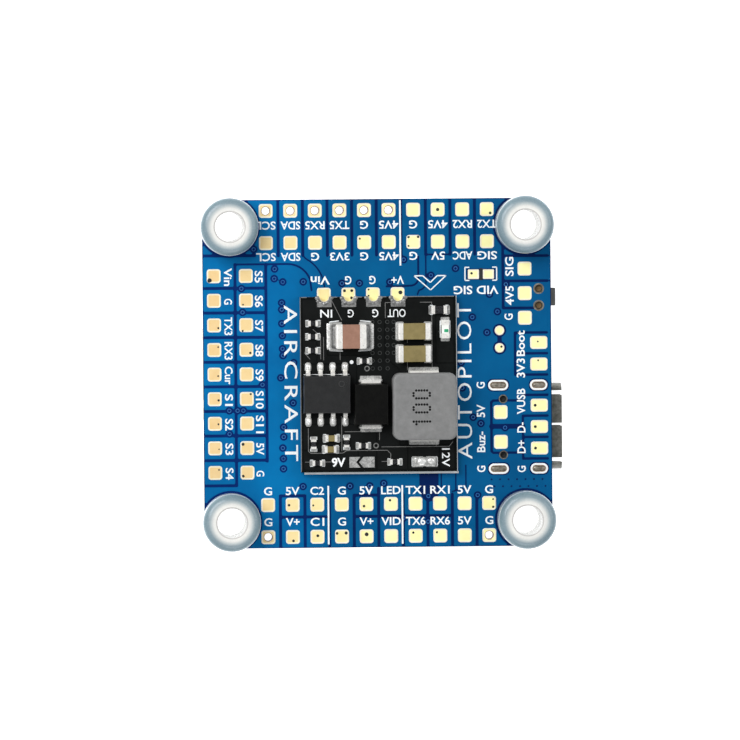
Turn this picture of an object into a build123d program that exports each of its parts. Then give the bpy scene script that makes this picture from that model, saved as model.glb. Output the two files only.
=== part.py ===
from build123d import *
import os

# Flight controller board with a switching-regulator board soldered on top of it.
# Millimetres. The origin is the centre of the square of four mounting holes, on the plane of
# the grommets' lower faces. +Z points up out of the regulator side. -Y is the flight direction.

# ------------------------------------------------------------------ main board
hole_pitch = 30.5
hole_to_edge = 2.75
board_thickness = 1.6
grommet_hole_radius = 2.0
board_side = hole_pitch + 2 * hole_to_edge
board_edge = board_side / 2

# ------------------------------------------------------------------ grommets
grommet_bore_radius = 1.5
grommet_flange_radius = 3.0
grommet_flange_height = 3.4
grommet_shoulder_radius = 0.8
grommet_lip_radius = 0.12
grommet_fit_clearance = 0.02

board_low = grommet_flange_height
board_high = board_low + board_thickness

# ------------------------------------------------------------------ copper pads
pad_thickness = 0.05
pad_corner_radius = 0.3
pad_pitch = 2.54
pad_side = 1.45
edge_to_outer_row = 1.15
row_gap = 3.32
pads_per_row = 10
pads_per_side_row = 9
outer_row = board_edge - edge_to_outer_row
inner_row = outer_row - row_gap
plated_hole_radius = 0.48
plating_thickness = 0.04

supply_pad_from_edge = 2.71
supply_pads_y = (10.67, 8.13, 5.59)
link_pad_size = (1.8, 1.35)
link_pad_from_edge = 1.30
link_pads_y = (3.02, 0.79)
usb_link_pad_pitch = 2.215
buzzer_pad_from_edge = 5.30
buzzer_pad_spacing = 3.08
test_pad_radius = 0.5
test_pads = ((12.65, 4.30), (12.65, 2.50))
select_pad_size = (1.16, 1.0)
select_pads = ((10.0, 10.13), (11.55, 10.13))

# ------------------------------------------------------------------ regulator board
regulator_x = 0.05
regulator_y = -1.12
regulator_size_x = 16.1
regulator_size_y = 18.1
regulator_thickness = 1.0
castellation_radius = 0.5
castellation_first_x = -5.54
castellation_count = 4
castellation_land = (1.5, 1.05)
castellation_pad_reach = 0.94
regulator_low = board_high + pad_thickness
regulator_high = regulator_low + regulator_thickness
regulator_rear_edge = regulator_y + regulator_size_y / 2

# ------------------------------------------------------------------ USB receptacle
usb_centre_y = -5.68
usb_shell_width = 8.94
usb_shell_height = 3.16
usb_shell_length = 7.35
usb_shell_wall = 0.3
usb_overhang = 1.15
usb_relief_offset = 3.47
usb_relief_width = 0.45
usb_relief_depth = 1.45
usb_seam_offset = 0.19
usb_seam_width = 0.28
usb_fit_clearance = 0.02
usb_leg_lengths = (1.25, 0.95)
usb_legs_from_mouth = (6.68, 2.49)
usb_leg_slot_lengths = (1.7, 1.43)
usb_leg_slot_width = 0.7
usb_slot_ring_width = 0.2
usb_leg_recess = 0.1
usb_peg_from_mouth = 6.18
usb_peg_offset = 2.89
usb_peg_radius = 0.3
usb_peg_height = 1.1
usb_peg_clearance = 0.04
usb_block_length = 2.6
usb_tongue_width = 6.69
usb_tongue_thickness = 0.7
usb_tongue_recess = 1.5
usb_contact_pitch = 0.5
usb_contact_count = 12
usb_contact_size = (2.8, 0.3, 0.03)
usb_tail_size = (0.75, 0.25, 0.15)
usb_tail_rise = 1.2
usb_mouth_x = board_edge + usb_overhang
usb_back_x = usb_mouth_x - usb_shell_length
usb_axis_z = board_low - pad_thickness - usb_shell_height / 2

# ------------------------------------------------------------------ side button
button_centre_y = 7.72
button_depth = 3.0
button_width = 4.0
button_height = 1.45
button_setback = 0.15
button_boss_inset = 1.12
button_boss_pitch = 1.74
button_boss_radius = 0.33
button_boss_clearance = 0.05
button_boss_height = 1.2
button_floor = 0.4
button_front_wall = 0.85
button_pocket_back = 2.2
button_pocket_width = 2.9
button_cover_thickness = 0.15
button_skirt_height = 1.1
plunger_width = 1.85
plunger_tip = 0.75
plunger_clearance = 0.05
plunger_head_width = 2.5
plunger_head_depth = 0.4
plunger_nib_radius = 0.35
plunger_nib_depth = 0.2
dome_gap = 0.03
dome_thickness = 0.08
dome_width = 2.3
dome_margin = 0.1
button_terminal_size = (0.6, 0.6, 0.15)
button_terminals_from_front = (0.6, 2.4)

# ------------------------------------------------------------------ wire-to-board connectors
connector_pitch = 1.0
connector_depth = 4.25
connector_height = 2.9
connector_end_margin = 1.2
connector_wall = 0.55
connector_end_wall = 0.8
connector_cavity_depth = 3.1
connector_pin_size = (2.4, 0.25, 0.35)
connector_tail_size = (0.6, 0.3, 0.15)
connector_anchor_size = (1.2, 0.2, 1.4)
connector_anchor_foot = 0.6
connector_key_width = 0.8
connector_key_depth = 1.6
esc_connector_pins = 8
video_connector_pins = 6

nodes = {}


# ------------------------------------------------------------------ helpers
def add(node, *shapes):
    """Adds the solids of each shape to a named sub-part."""
    for shape in shapes:
        nodes.setdefault(node, []).extend(shape.solids())


def block(size_x, size_y, z_low, z_high, x=0, y=0):
    """A box by its size and centre in plan, and its two levels."""
    return Pos(x, y, (z_low + z_high) / 2) * Box(size_x, size_y, z_high - z_low)


def rod(radius, z_low, z_high, x=0, y=0):
    """A vertical cylinder between two levels."""
    return Pos(x, y, (z_low + z_high) / 2) * Cylinder(radius, z_high - z_low)


def pad(size_x, size_y, z_low, x=0, y=0, corner=pad_corner_radius):
    """A copper pad with rounded corners, lying on z_low."""
    radius = min(corner, 0.3 * min(size_x, size_y))
    return Pos(x, y, z_low) * extrude(RectangleRounded(size_x, size_y, radius), amount=pad_thickness)


def slot(length, width, z_low, z_high, x=0, y=0):
    """A vertical prism with round ends, long in X."""
    return Pos(x, y, z_low) * extrude(SlotOverall(length, width), amount=z_high - z_low)


def strip(points, width):
    """A profile in the XZ plane, drawn out to a width centred on Y."""
    outline = Plane.XZ * Polyline(*points, close=True)
    return extrude(make_face(outline), amount=width / 2, both=True)


def evenly(count, pitch):
    """Positions of a centred row."""
    return [(index - (count - 1) / 2) * pitch for index in range(count)]


def on_regulator(x, y, turn=0):
    """A place on the regulator board's upper face, from that board's centre."""
    return Pos(regulator_x + x, regulator_y + y, regulator_high) * Rot(0, 0, turn)


def underneath(x, y, turn=0):
    """A place on the main board's lower face, seen from above, facing down."""
    return Pos(x, y, board_low) * Rot(0, 0, turn) * Rot(180, 0, 0)


def moulded_body(size_x, size_y, z_low, z_high, parting):
    """A chip body with drafted sides above and below its parting line."""
    draft = 7
    outline = Pos(0, 0, parting) * Rectangle(size_x, size_y)
    upper = extrude(outline, amount=z_high - parting, taper=draft)
    lower = extrude(outline, amount=parting - z_low, dir=(0, 0, -1), taper=draft)
    return upper + lower


def gull_lead(body_half, tip, foot, width, thickness, exit_height):
    """One bent lead on the +X side: shoulder, sloping leg and flat foot on the pad."""
    low = pad_thickness
    knee = body_half + 0.35 * (tip - foot - body_half)
    ankle = tip - foot
    half = thickness / 2
    points = (
        (body_half, exit_height),
        (knee - half, exit_height),
        (ankle - half, low),
        (tip, low),
        (tip, low + thickness),
        (ankle + half, low + thickness),
        (knee + half, exit_height + thickness),
        (body_half, exit_height + thickness),
    )
    return strip(points, width)


def leaded_chip(where, names, pads_node, body, lead, rows, mark):
    """A moulded chip on gull-wing leads.

    body is size X, size Y, standoff and height. lead is tip-to-tip span, foot, width and
    thickness. rows maps a side's turn to its lead positions along that side. mark is the
    pin-one dimple's radius and place.
    """
    size_x, size_y, standoff, height = body
    span, foot, width, thickness = lead
    parting = standoff + height / 2
    mark_radius, mark_x, mark_y = mark
    dimple_depth = 0.06
    top = standoff + height
    shape = moulded_body(size_x, size_y, standoff, top, parting)
    shape -= rod(mark_radius, top - dimple_depth, top + dimple_depth, mark_x, mark_y)
    add(names[0], where * shape)
    pad_reach = 0.3
    for turn, places in rows.items():
        along_x = turn % 180 == 0
        body_half = (size_x if along_x else size_y) / 2
        tip = body_half + (span - size_x) / 2 if along_x else body_half + (span - size_y) / 2
        for place in places:
            seat = where * Rot(0, 0, turn) * Pos(0, place, 0)
            add(names[1], seat * gull_lead(body_half, tip, foot, width, thickness,
                                           parting - thickness / 2))
            land_x = tip - foot / 2 + pad_reach / 2
            add(pads_node, seat * pad(foot + pad_reach, width * 1.3, 0, land_x))


def chip_part(where, names, pads_node, size, cap, land=None):
    """A two-ended chip part: ceramic body between two metal end caps, on two pads."""
    length, width, height = size
    low = pad_thickness
    body_inset = 0.02
    edge = 0.12 * min(width, height)
    body = block(length - 2 * cap, width - 2 * body_inset, low + body_inset, low + height - body_inset)
    add(names[0], where * body)
    land_x, land_y = land or (cap + 0.3, width + 0.1)
    for side in (-1, 1):
        end = block(cap, width, low, low + height, side * (length - cap) / 2)
        outer = end.faces().sort_by(Axis.X)[-1 if side > 0 else 0]
        end = fillet(outer.edges(), edge)
        add(names[1], where * end)
        land_centre = side * (length / 2 - cap + land_x / 2)
        add(pads_node, where * pad(land_x, land_y, 0, land_centre, 0, 0.08))


# ------------------------------------------------------------------ main board and its copper
def grommet_places():
    """The four mounting holes, by name of their corner."""
    half = hole_pitch / 2
    return {
        "grommet_front_usb_side": (half, -half),
        "grommet_rear_usb_side": (half, half),
        "grommet_front_signal_side": (-half, -half),
        "grommet_rear_signal_side": (-half, half),
    }


def row_pads():
    """Every square pad of the front, rear and signal-side rows: x, y and whether it has a hole."""
    places = []
    columns = evenly(pads_per_row, pad_pitch)
    for index, x in enumerate(columns):
        places.append((x, outer_row, index < 6))
        places.append((x, inner_row, False))
        places.append((x, -outer_row, index in (0, pads_per_row - 1)))
        places.append((x, -inner_row, False))
    for y in evenly(pads_per_side_row, pad_pitch):
        places.append((-outer_row, y, False))
        places.append((-inner_row, y, False))
    return places


def usb_leg_slots():
    """The four slots for the USB shell's legs: x, y and length."""
    leg_offset = (usb_shell_width - usb_shell_wall) / 2
    slots = []
    for from_mouth, length in zip(usb_legs_from_mouth, usb_leg_slot_lengths):
        for side in (-1, 1):
            slots.append((usb_mouth_x - from_mouth, usb_centre_y + side * leg_offset, length))
    return slots


def usb_peg_places():
    """The two holes for the USB housing's pegs."""
    x = usb_mouth_x - usb_peg_from_mouth
    return [(x, usb_centre_y + side * usb_peg_offset) for side in (-1, 1)]


def button_boss_places():
    """The two holes for the button's bosses."""
    x = board_edge - button_setback - button_boss_inset
    return [(x, button_centre_y + side * button_boss_pitch / 2) for side in (-1, 1)]


def main_board():
    """The main circuit board, a rounded square with all its holes."""
    board = extrude(RectangleRounded(board_side, board_side, hole_to_edge), amount=board_thickness)
    board = Pos(0, 0, board_low) * board
    over = 1.0
    low, high = board_low - over, board_high + over
    cuts = [rod(grommet_hole_radius, low, high, x, y) for x, y in grommet_places().values()]
    cuts += [rod(plated_hole_radius, low, high, x, y) for x, y, drilled in row_pads() if drilled]
    cuts += [slot(length, usb_leg_slot_width, low, high, x, y) for x, y, length in usb_leg_slots()]
    peg_hole = usb_peg_radius + usb_peg_clearance
    cuts += [rod(peg_hole, low, high, x, y) for x, y in usb_peg_places()]
    boss_hole = button_boss_radius + button_boss_clearance
    cuts += [rod(boss_hole, low, high, x, y) for x, y in button_boss_places()]
    add("main_board", board - cuts)


def through_copper():
    """Plated barrels in the drilled pads and leg slots, with their lands on both faces."""
    low, high = board_low - pad_thickness, board_high + pad_thickness
    bore = plated_hole_radius - plating_thickness
    for x, y, drilled in row_pads():
        land = pad(pad_side, pad_side, board_high, x, y)
        if drilled:
            hole = rod(plated_hole_radius, low - 1, high + 1, x, y)
            add("main_board_top_pads", land - hole)
            add("main_board_bottom_pads", pad(pad_side, pad_side, low, x, y) - hole)
            add("plated_hole_barrels", rod(plated_hole_radius, low, high, x, y) - rod(bore, low, high, x, y))
        else:
            add("main_board_top_pads", land)
    for x, y, length in usb_leg_slots():
        outer = (length + 2 * usb_slot_ring_width, usb_leg_slot_width + 2 * usb_slot_ring_width)
        hole = slot(length, usb_leg_slot_width, low, high, x, y)
        add("main_board_top_pads", slot(*outer, board_high, high, x, y) - hole)
        add("main_board_bottom_pads", slot(*outer, low, board_low, x, y) - hole)
        inner = (length - 2 * plating_thickness, usb_leg_slot_width - 2 * plating_thickness)
        add("plated_hole_barrels", hole - slot(*inner, low, high, x, y))


def loose_top_pads():
    """The pads of the USB side, the two test pads and the jumper of the main board's top."""
    for y in supply_pads_y:
        add("main_board_top_pads", pad(pad_side, pad_side, board_high, board_edge - supply_pad_from_edge, y))
    link_y = list(link_pads_y) + [usb_centre_y + offset for offset in evenly(3, usb_link_pad_pitch)]
    for y in link_y:
        add("main_board_top_pads", pad(*link_pad_size, board_high, board_edge - link_pad_from_edge, y, 0.2))
    for offset in evenly(2, buzzer_pad_spacing):
        x = board_edge - buzzer_pad_from_edge
        add("main_board_top_pads", pad(pad_side, pad_side, board_high, x, usb_centre_y + offset))
    for x, y in test_pads:
        add("main_board_top_pads", rod(test_pad_radius, board_high, board_high + pad_thickness, x, y))
    for x, y in select_pads:
        add("main_board_top_pads", pad(*select_pad_size, board_high, x, y, 0.05))
    for x in castellations():
        add("main_board_top_pads", pad(pad_side, 2 * castellation_pad_reach, board_high, x,
                                       regulator_rear_edge))


def grommets():
    """Silicone bobbins that clip into the mounting holes and take an M3 screw."""
    neck = grommet_hole_radius - grommet_fit_clearance
    top = board_high + grommet_flange_height
    for name, (x, y) in grommet_places().items():
        lower = rod(grommet_flange_radius, 0, board_low)
        lower = fillet(lower.edges().sort_by(Axis.Z)[0], grommet_shoulder_radius)
        upper = rod(grommet_flange_radius, board_high, top)
        upper = fillet(upper.edges().sort_by(Axis.Z)[-1], grommet_shoulder_radius)
        body = lower + upper + rod(neck, board_low, board_high)
        body -= rod(grommet_bore_radius, -1, top + 1)
        lips = body.edges().filter_by(GeomType.CIRCLE).filter_by(
            lambda edge: abs(edge.radius - grommet_bore_radius) < 0.01)
        add(name, Pos(x, y, 0) * fillet(lips, grommet_lip_radius))


# ------------------------------------------------------------------ regulator board
def castellations():
    """X of each plated half-hole in the regulator board's rear edge."""
    first = regulator_x + castellation_first_x
    return [first + index * pad_pitch for index in range(castellation_count)]


def regulator_board():
    """The black daughter board, with plated half-holes in its rear edge and their lands."""
    land_x, land_y = castellation_land
    top = regulator_high + pad_thickness
    board = block(regulator_size_x, regulator_size_y, regulator_low, regulator_high, regulator_x, regulator_y)
    for x in castellations():
        hole = rod(castellation_radius, regulator_low - 1, top + 1, x, regulator_rear_edge)
        board -= hole
        land = block(land_x, land_y, regulator_high, top, x, regulator_rear_edge - land_y / 2)
        add("regulator_pads", land - hole)
        wall = rod(castellation_radius, regulator_low, top, x, regulator_rear_edge)
        wall -= rod(castellation_radius - plating_thickness, regulator_low, top, x, regulator_rear_edge)
        reach = 2 * castellation_radius
        inside = block(2 * reach, reach, regulator_low, top, x, regulator_rear_edge - reach / 2)
        add("regulator_edge_plating", wall & inside)
    add("regulator_board", board)


def regulator_inductor():
    """Moulded power inductor with a terminal clip at each end."""
    size_x, size_y, height = 6.6, 6.9, 3.0
    clip_width, clip_thickness, clip_reach, clip_rise = 3.0, 0.2, 1.5, 1.3
    low = pad_thickness
    where = on_regulator(4.65, -2.28)
    core = block(size_x, size_y, low + clip_thickness, low + height)
    core = fillet(core.edges().filter_by(Axis.Z), 0.8)
    core = fillet(core.faces().sort_by(Axis.Z)[-1].edges(), 0.28)
    add("regulator_inductor_core", where * core)
    for turn in (90, -90):
        end = size_y / 2
        points = (
            (end - clip_reach, low),
            (end + clip_thickness, low),
            (end + clip_thickness, low + clip_rise),
            (end, low + clip_rise),
            (end, low + clip_thickness),
            (end - clip_reach, low + clip_thickness),
        )
        seat = where * Rot(0, 0, turn)
        add("regulator_inductor_terminals", seat * strip(points, clip_width))
        land = clip_reach + clip_thickness + 0.35
        add("regulator_pads", seat * pad(land, clip_width + 0.1, 0, end - clip_reach + land / 2, 0, 0.1))


def regulator_chip():
    """The switching regulator, an eight-lead chip."""
    rows = {90: evenly(4, 1.27), -90: evenly(4, 1.27)}
    leaded_chip(on_regulator(-5.37, -1.0), ("regulator_chip_body", "regulator_chip_leads"),
                "regulator_pads", (4.9, 3.9, 0.15, 1.45), (6.0, 0.6, 0.42, 0.2), rows,
                (0.42, 1.55, 1.1))


def regulator_diode():
    """The catch diode, a moulded block on two J-bent tabs."""
    size_x, size_y, height = 3.6, 4.3, 2.2
    tab_width, tab_thickness, tab_reach, tab_curl = 2.0, 0.2, 0.35, 0.9
    low = pad_thickness
    body_low = low + tab_thickness + 0.03
    parting = low + height / 2
    where = on_regulator(-0.82, -2.03)
    body = moulded_body(size_x, size_y, body_low, low + height, parting)
    add("regulator_diode_body", where * body)
    for turn in (90, -90):
        side = size_y / 2
        tip = side + tab_reach
        points = (
            (side, parting - tab_thickness / 2),
            (tip - tab_thickness, parting - tab_thickness / 2),
            (tip - tab_thickness, low + tab_thickness),
            (side - tab_curl, low + tab_thickness),
            (side - tab_curl, low),
            (tip, low),
            (tip, parting + tab_thickness / 2),
            (side, parting + tab_thickness / 2),
        )
        seat = where * Rot(0, 0, turn)
        add("regulator_diode_tabs", seat * strip(points, tab_width))
        land = tab_curl + tab_reach + 0.4
        add("regulator_pads", seat * pad(land, tab_width + 0.2, 0, side - tab_curl + land / 2, 0, 0.1))


def regulator_chip_parts():
    """Capacitors, resistors and the lamp of the regulator board."""
    pads = "regulator_pads"
    chip_part(on_regulator(-2.85, 4.96), ("input_capacitor_body", "input_capacitor_ends"), pads,
              (3.2, 2.5, 1.9), 0.7, (1.25, 2.95))
    for y in (5.44, 3.12):
        chip_part(on_regulator(3.68, y), ("output_capacitor_bodies", "output_capacitor_ends"), pads,
                  (3.4, 1.7, 1.5), 0.55, (0.75, 1.8))
    small = (1.0, 0.5, 0.35)
    resistors = ((-6.72, 6.32, 0), (-6.75, 4.96, 0), (-6.75, 3.52, 0), (-1.45, 2.40, 0),
                 (-6.75, -6.14, 90), (-3.35, -5.98, 90), (-1.62, -6.34, 0), (-6.38, -8.10, 0),
                 (1.62, -8.04, 0))
    names = ("regulator_resistor_bodies", "regulator_small_part_ends")
    for x, y, turn in resistors:
        chip_part(on_regulator(x, y, turn), names, pads, small, 0.25)
    chip_part(on_regulator(6.32, 7.62), names, pads, (1.6, 0.8, 0.45), 0.35)
    names = ("regulator_small_capacitor_bodies", "regulator_small_part_ends")
    for x, y in ((-4.92, -5.54), (-5.02, -6.68)):
        chip_part(on_regulator(x, y), names, pads, (1.2, 0.65, 0.55), 0.27)
    chip_part(on_regulator(6.92, 5.62, 90), ("regulator_lamp_body", "regulator_small_part_ends"), pads,
              (1.9, 0.8, 0.5), 0.5)


def regulator_jumpers():
    """Two arrow-gapped solder jumpers that select the output voltage; one is bridged."""
    length, width, gap, point = 2.6, 1.1, 0.16, 0.45
    half = length / 2
    for x, bridged in ((-1.78, False), (4.70, True)):
        where = on_regulator(x, -8.04)
        left = Polyline((-half, -width / 2), (-gap, -width / 2), (-gap - point, 0), (-gap, width / 2),
                        (-half, width / 2), close=True)
        right = Polyline((gap, -width / 2), (half, -width / 2), (half, width / 2), (gap, width / 2),
                         (gap - point, 0), close=True)
        for outline in (left, right):
            add("regulator_pads", where * extrude(make_face(outline), amount=pad_thickness))
        if bridged:
            drop = block(length * 0.9, width * 0.86, pad_thickness, pad_thickness + 0.24)
            drop = fillet(drop.edges().filter_by(Axis.Z), 0.3)
            drop = fillet(drop.faces().sort_by(Axis.Z)[-1].edges(), 0.16)
            add("regulator_jumper_solder", where * drop)


# ------------------------------------------------------------------ chips under the main board
def processor():
    """The flight processor, 64 leads on four sides."""
    rows = {turn: evenly(16, 0.5) for turn in (0, 90, 180, 270)}
    leaded_chip(underneath(1.5, 5.5), ("processor_body", "processor_leads"), "main_board_bottom_pads",
                (10.0, 10.0, 0.1, 1.4), (12.0, 0.6, 0.22, 0.13), rows, (0.4, -4.2, 4.2))


def overlay_chip():
    """The on-screen display chip, 28 leads in two rows."""
    rows = {0: evenly(14, 0.65), 180: evenly(14, 0.65)}
    leaded_chip(underneath(-8.6, 5.5), ("overlay_chip_body", "overlay_chip_leads"),
                "main_board_bottom_pads", (4.4, 9.7, 0.1, 1.0), (6.4, 0.6, 0.25, 0.13), rows,
                (0.3, -1.6, 4.2))


def flash_chip():
    """The logging memory, an eight-lead wide chip."""
    rows = {90: evenly(4, 1.27), -90: evenly(4, 1.27)}
    leaded_chip(underneath(-8.4, -4.6), ("flash_chip_body", "flash_chip_leads"),
                "main_board_bottom_pads", (5.3, 5.3, 0.12, 1.8), (7.9, 0.7, 0.42, 0.2), rows,
                (0.4, -1.9, 1.9))


def small_regulators():
    """The 5 V converter and the two linear regulators, all small five-lead chips."""
    names = ("small_regulator_bodies", "small_regulator_leads")
    five_leads = {0: evenly(3, 0.95), 180: [-0.95, 0.95]}
    for x, y in ((9.4, 3.1), (9.4, -0.3), (8.5, -8.9)):
        leaded_chip(underneath(x, y), names, "main_board_bottom_pads", (1.6, 2.9, 0.1, 1.05),
                    (2.8, 0.35, 0.4, 0.15), five_leads, (0.15, 0.5, -1.1))


def motion_sensor():
    """The gyroscope and accelerometer, a leadless block on its solder lands."""
    where = underneath(0, -3.2)
    body = block(2.5, 3.0, pad_thickness, 0.9)
    body -= rod(0.15, 0.86, 1.0, -0.9, 1.15)
    add("gyro_sensor", where * body)
    for turn in (0, 180):
        for y in evenly(4, 0.5):
            add("main_board_bottom_pads", where * Rot(0, 0, turn) * pad(0.5, 0.3, 0, 1.1, y, 0.05))


def barometer():
    """The pressure sensor, a small board under a vented metal can."""
    where = underneath(-3.3, -5.0)
    base_height, can_height, can_wall = 0.3, 0.55, 0.1
    base_top = pad_thickness + base_height
    can_top = base_top + can_height
    add("barometer_base", where * block(2.5, 2.0, pad_thickness, base_top))
    can = block(2.3, 1.8, base_top, can_top)
    can = fillet(can.edges().filter_by(Axis.Z), 0.25)
    can = fillet(can.faces().sort_by(Axis.Z)[-1].edges(), 0.12)
    hollow = block(2.3 - 2 * can_wall, 1.8 - 2 * can_wall, base_top, can_top - can_wall)
    can -= hollow
    can -= rod(0.15, base_top, can_top + 1, 0.6, 0.4)
    add("barometer_can", where * can)
    for turn in (0, 180):
        for y in evenly(2, 1.2):
            add("main_board_bottom_pads", where * Rot(0, 0, turn) * pad(0.6, 0.5, 0, 1.05, y, 0.05))


def crystals():
    """Two four-pad crystals: ceramic base and seam-welded metal lid."""
    base_height, lid_height = 0.5, 0.2
    for x, y, turn in ((9.6, 9.4, 0), (-8.6, 12.6, 0)):
        where = underneath(x, y, turn)
        base_top = pad_thickness + base_height
        base = fillet(block(3.2, 2.5, pad_thickness, base_top).edges().filter_by(Axis.Z), 0.2)
        add("crystal_bases", where * base)
        lid = fillet(block(2.9, 2.2, base_top, base_top + lid_height).edges().filter_by(Axis.Z), 0.3)
        add("crystal_lids", where * lid)
        for side_x in (-1, 1):
            for side_y in (-1, 1):
                add("main_board_bottom_pads", where * pad(1.2, 1.0, 0, side_x * 1.1, side_y * 0.85, 0.1))


def five_volt_inductor():
    """The small power inductor of the 5 V converter."""
    size, height, foot = 4.0, 2.0, 0.1
    where = underneath(8.5, -13.4)
    low = pad_thickness + foot
    core = fillet(block(size, size, low, low + height).edges().filter_by(Axis.Z), 0.6)
    core = fillet(core.faces().sort_by(Axis.Z)[-1].edges(), 0.2)
    add("five_volt_inductor_core", where * core)
    for side in (-1, 1):
        x = side * 1.4
        add("five_volt_inductor_terminals", where * block(1.1, 3.4, pad_thickness, low, x))
        add("main_board_bottom_pads", where * pad(1.4, 3.6, 0, x, 0, 0.1))


def underside_chip_parts():
    """Resistors, capacitors and status lamps under the main board."""
    pads = "main_board_bottom_pads"
    resistors = [(x, 12.6, 90) for x in (-3.6, -2.6, -1.6, 7.3, 8.3)]
    resistors += [(x, -1.6, 90) for x in (3.6, 4.6, 5.6)]
    resistors += [(-12.3, y, 0) for y in (7.0, 8.2, 9.4)]
    resistors += [(12.9, y, 0) for y in (6.2, 7.4)]
    names = ("underside_resistor_bodies", "underside_resistor_ends")
    for x, y, turn in resistors:
        chip_part(underneath(x, y, turn), names, pads, (1.0, 0.5, 0.35), 0.25)
    names = ("underside_capacitor_bodies", "underside_capacitor_ends")
    for x, y, turn in ((0.2, 12.6, 90), (1.2, 12.6, 90), (2.2, 12.6, 90), (2.6, -3.2, 90),
                       (-3.1, -2.6, 0), (12.5, 1.8, 90), (12.5, 4.2, 90), (-5.2, -9.8, 0)):
        chip_part(underneath(x, y, turn), names, pads, (1.0, 0.5, 0.5), 0.25)
    for x, y, turn in ((4.6, -9.2, 0), (4.6, -11.6, 0), (4.6, -7.0, 0), (-7.4, -11.4, 0)):
        chip_part(underneath(x, y, turn), names, pads, (2.0, 1.25, 1.0), 0.4)
    names = ("status_lamp_bodies", "status_lamp_ends")
    for y in (1.2, 2.6, 4.0):
        chip_part(underneath(board_edge - 1.0, y), names, pads, (1.6, 0.8, 0.5), 0.35)


# ------------------------------------------------------------------ USB receptacle
def usb_receptacle():
    """Side-entry USB-C receptacle under the board, its shell legs in plated slots."""
    mouth_length = 3 * usb_shell_length
    section = SlotOverall(usb_shell_width, usb_shell_height)
    inner_width = usb_shell_width - 2 * usb_shell_wall
    inner_height = usb_shell_height - 2 * usb_shell_wall
    section -= SlotOverall(inner_width, inner_height)
    seat = Pos(usb_back_x, usb_centre_y, usb_axis_z)
    shell = seat * extrude(Plane.YZ * section, amount=usb_shell_length)
    leg_offset = (usb_shell_width - usb_shell_wall) / 2
    for from_mouth, length in zip(usb_legs_from_mouth, usb_leg_lengths):
        for side in (-1, 1):
            shell += block(length, usb_shell_wall, usb_axis_z, board_high - usb_leg_recess,
                           usb_mouth_x - from_mouth, usb_centre_y + side * leg_offset)
    reliefs = ((usb_relief_offset, usb_relief_width), (-usb_relief_offset, usb_relief_width),
               (usb_seam_offset, usb_seam_width))
    for offset, width in reliefs:
        shell -= block(2 * usb_relief_depth, width, usb_axis_z - mouth_length, usb_axis_z + mouth_length,
                       usb_mouth_x, usb_centre_y + offset)
    hole = usb_peg_radius + 2 * usb_peg_clearance
    for x, y in usb_peg_places():
        shell -= rod(hole, usb_axis_z, board_low, x, y)
    add("usb_shell", shell)

    block_section = SlotOverall(inner_width - 2 * usb_fit_clearance, inner_height - 2 * usb_fit_clearance)
    core = seat * extrude(Plane.YZ * block_section, amount=usb_block_length)
    tongue_tip = usb_mouth_x - usb_tongue_recess
    tongue_start = usb_back_x + usb_block_length
    half_thickness = usb_tongue_thickness / 2
    core += block(tongue_tip - usb_back_x, usb_tongue_width, usb_axis_z - half_thickness,
                  usb_axis_z + half_thickness, (tongue_tip + usb_back_x) / 2, usb_centre_y)
    for x, y in usb_peg_places():
        core += rod(usb_peg_radius, usb_axis_z, board_low + usb_peg_height, x, y)
    add("usb_tongue", core)

    contact_length, contact_width, contact_height = usb_contact_size
    tail_length, tail_width, tail_thickness = usb_tail_size
    pad_plane = board_low - pad_thickness
    for offset in evenly(usb_contact_count, usb_contact_pitch):
        y = usb_centre_y + offset
        x = tongue_start + contact_length / 2
        face = usb_axis_z + half_thickness
        add("usb_contacts", block(contact_length, contact_width, face, face + contact_height, x, y))
        face = usb_axis_z - half_thickness
        add("usb_contacts", block(contact_length, contact_width, face - contact_height, face, x, y))
        points = (
            (0, 0),
            (-tail_length, 0),
            (-tail_length, -tail_thickness),
            (-tail_thickness, -tail_thickness),
            (-tail_thickness, -usb_tail_rise),
            (0, -usb_tail_rise),
        )
        add("usb_contacts", Pos(usb_back_x, y, pad_plane) * strip(points, tail_width))
        add("main_board_bottom_pads", pad(tail_length, tail_width, pad_plane,
                                          usb_back_x - tail_length / 2 - 0.1, y, 0.05))


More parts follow.
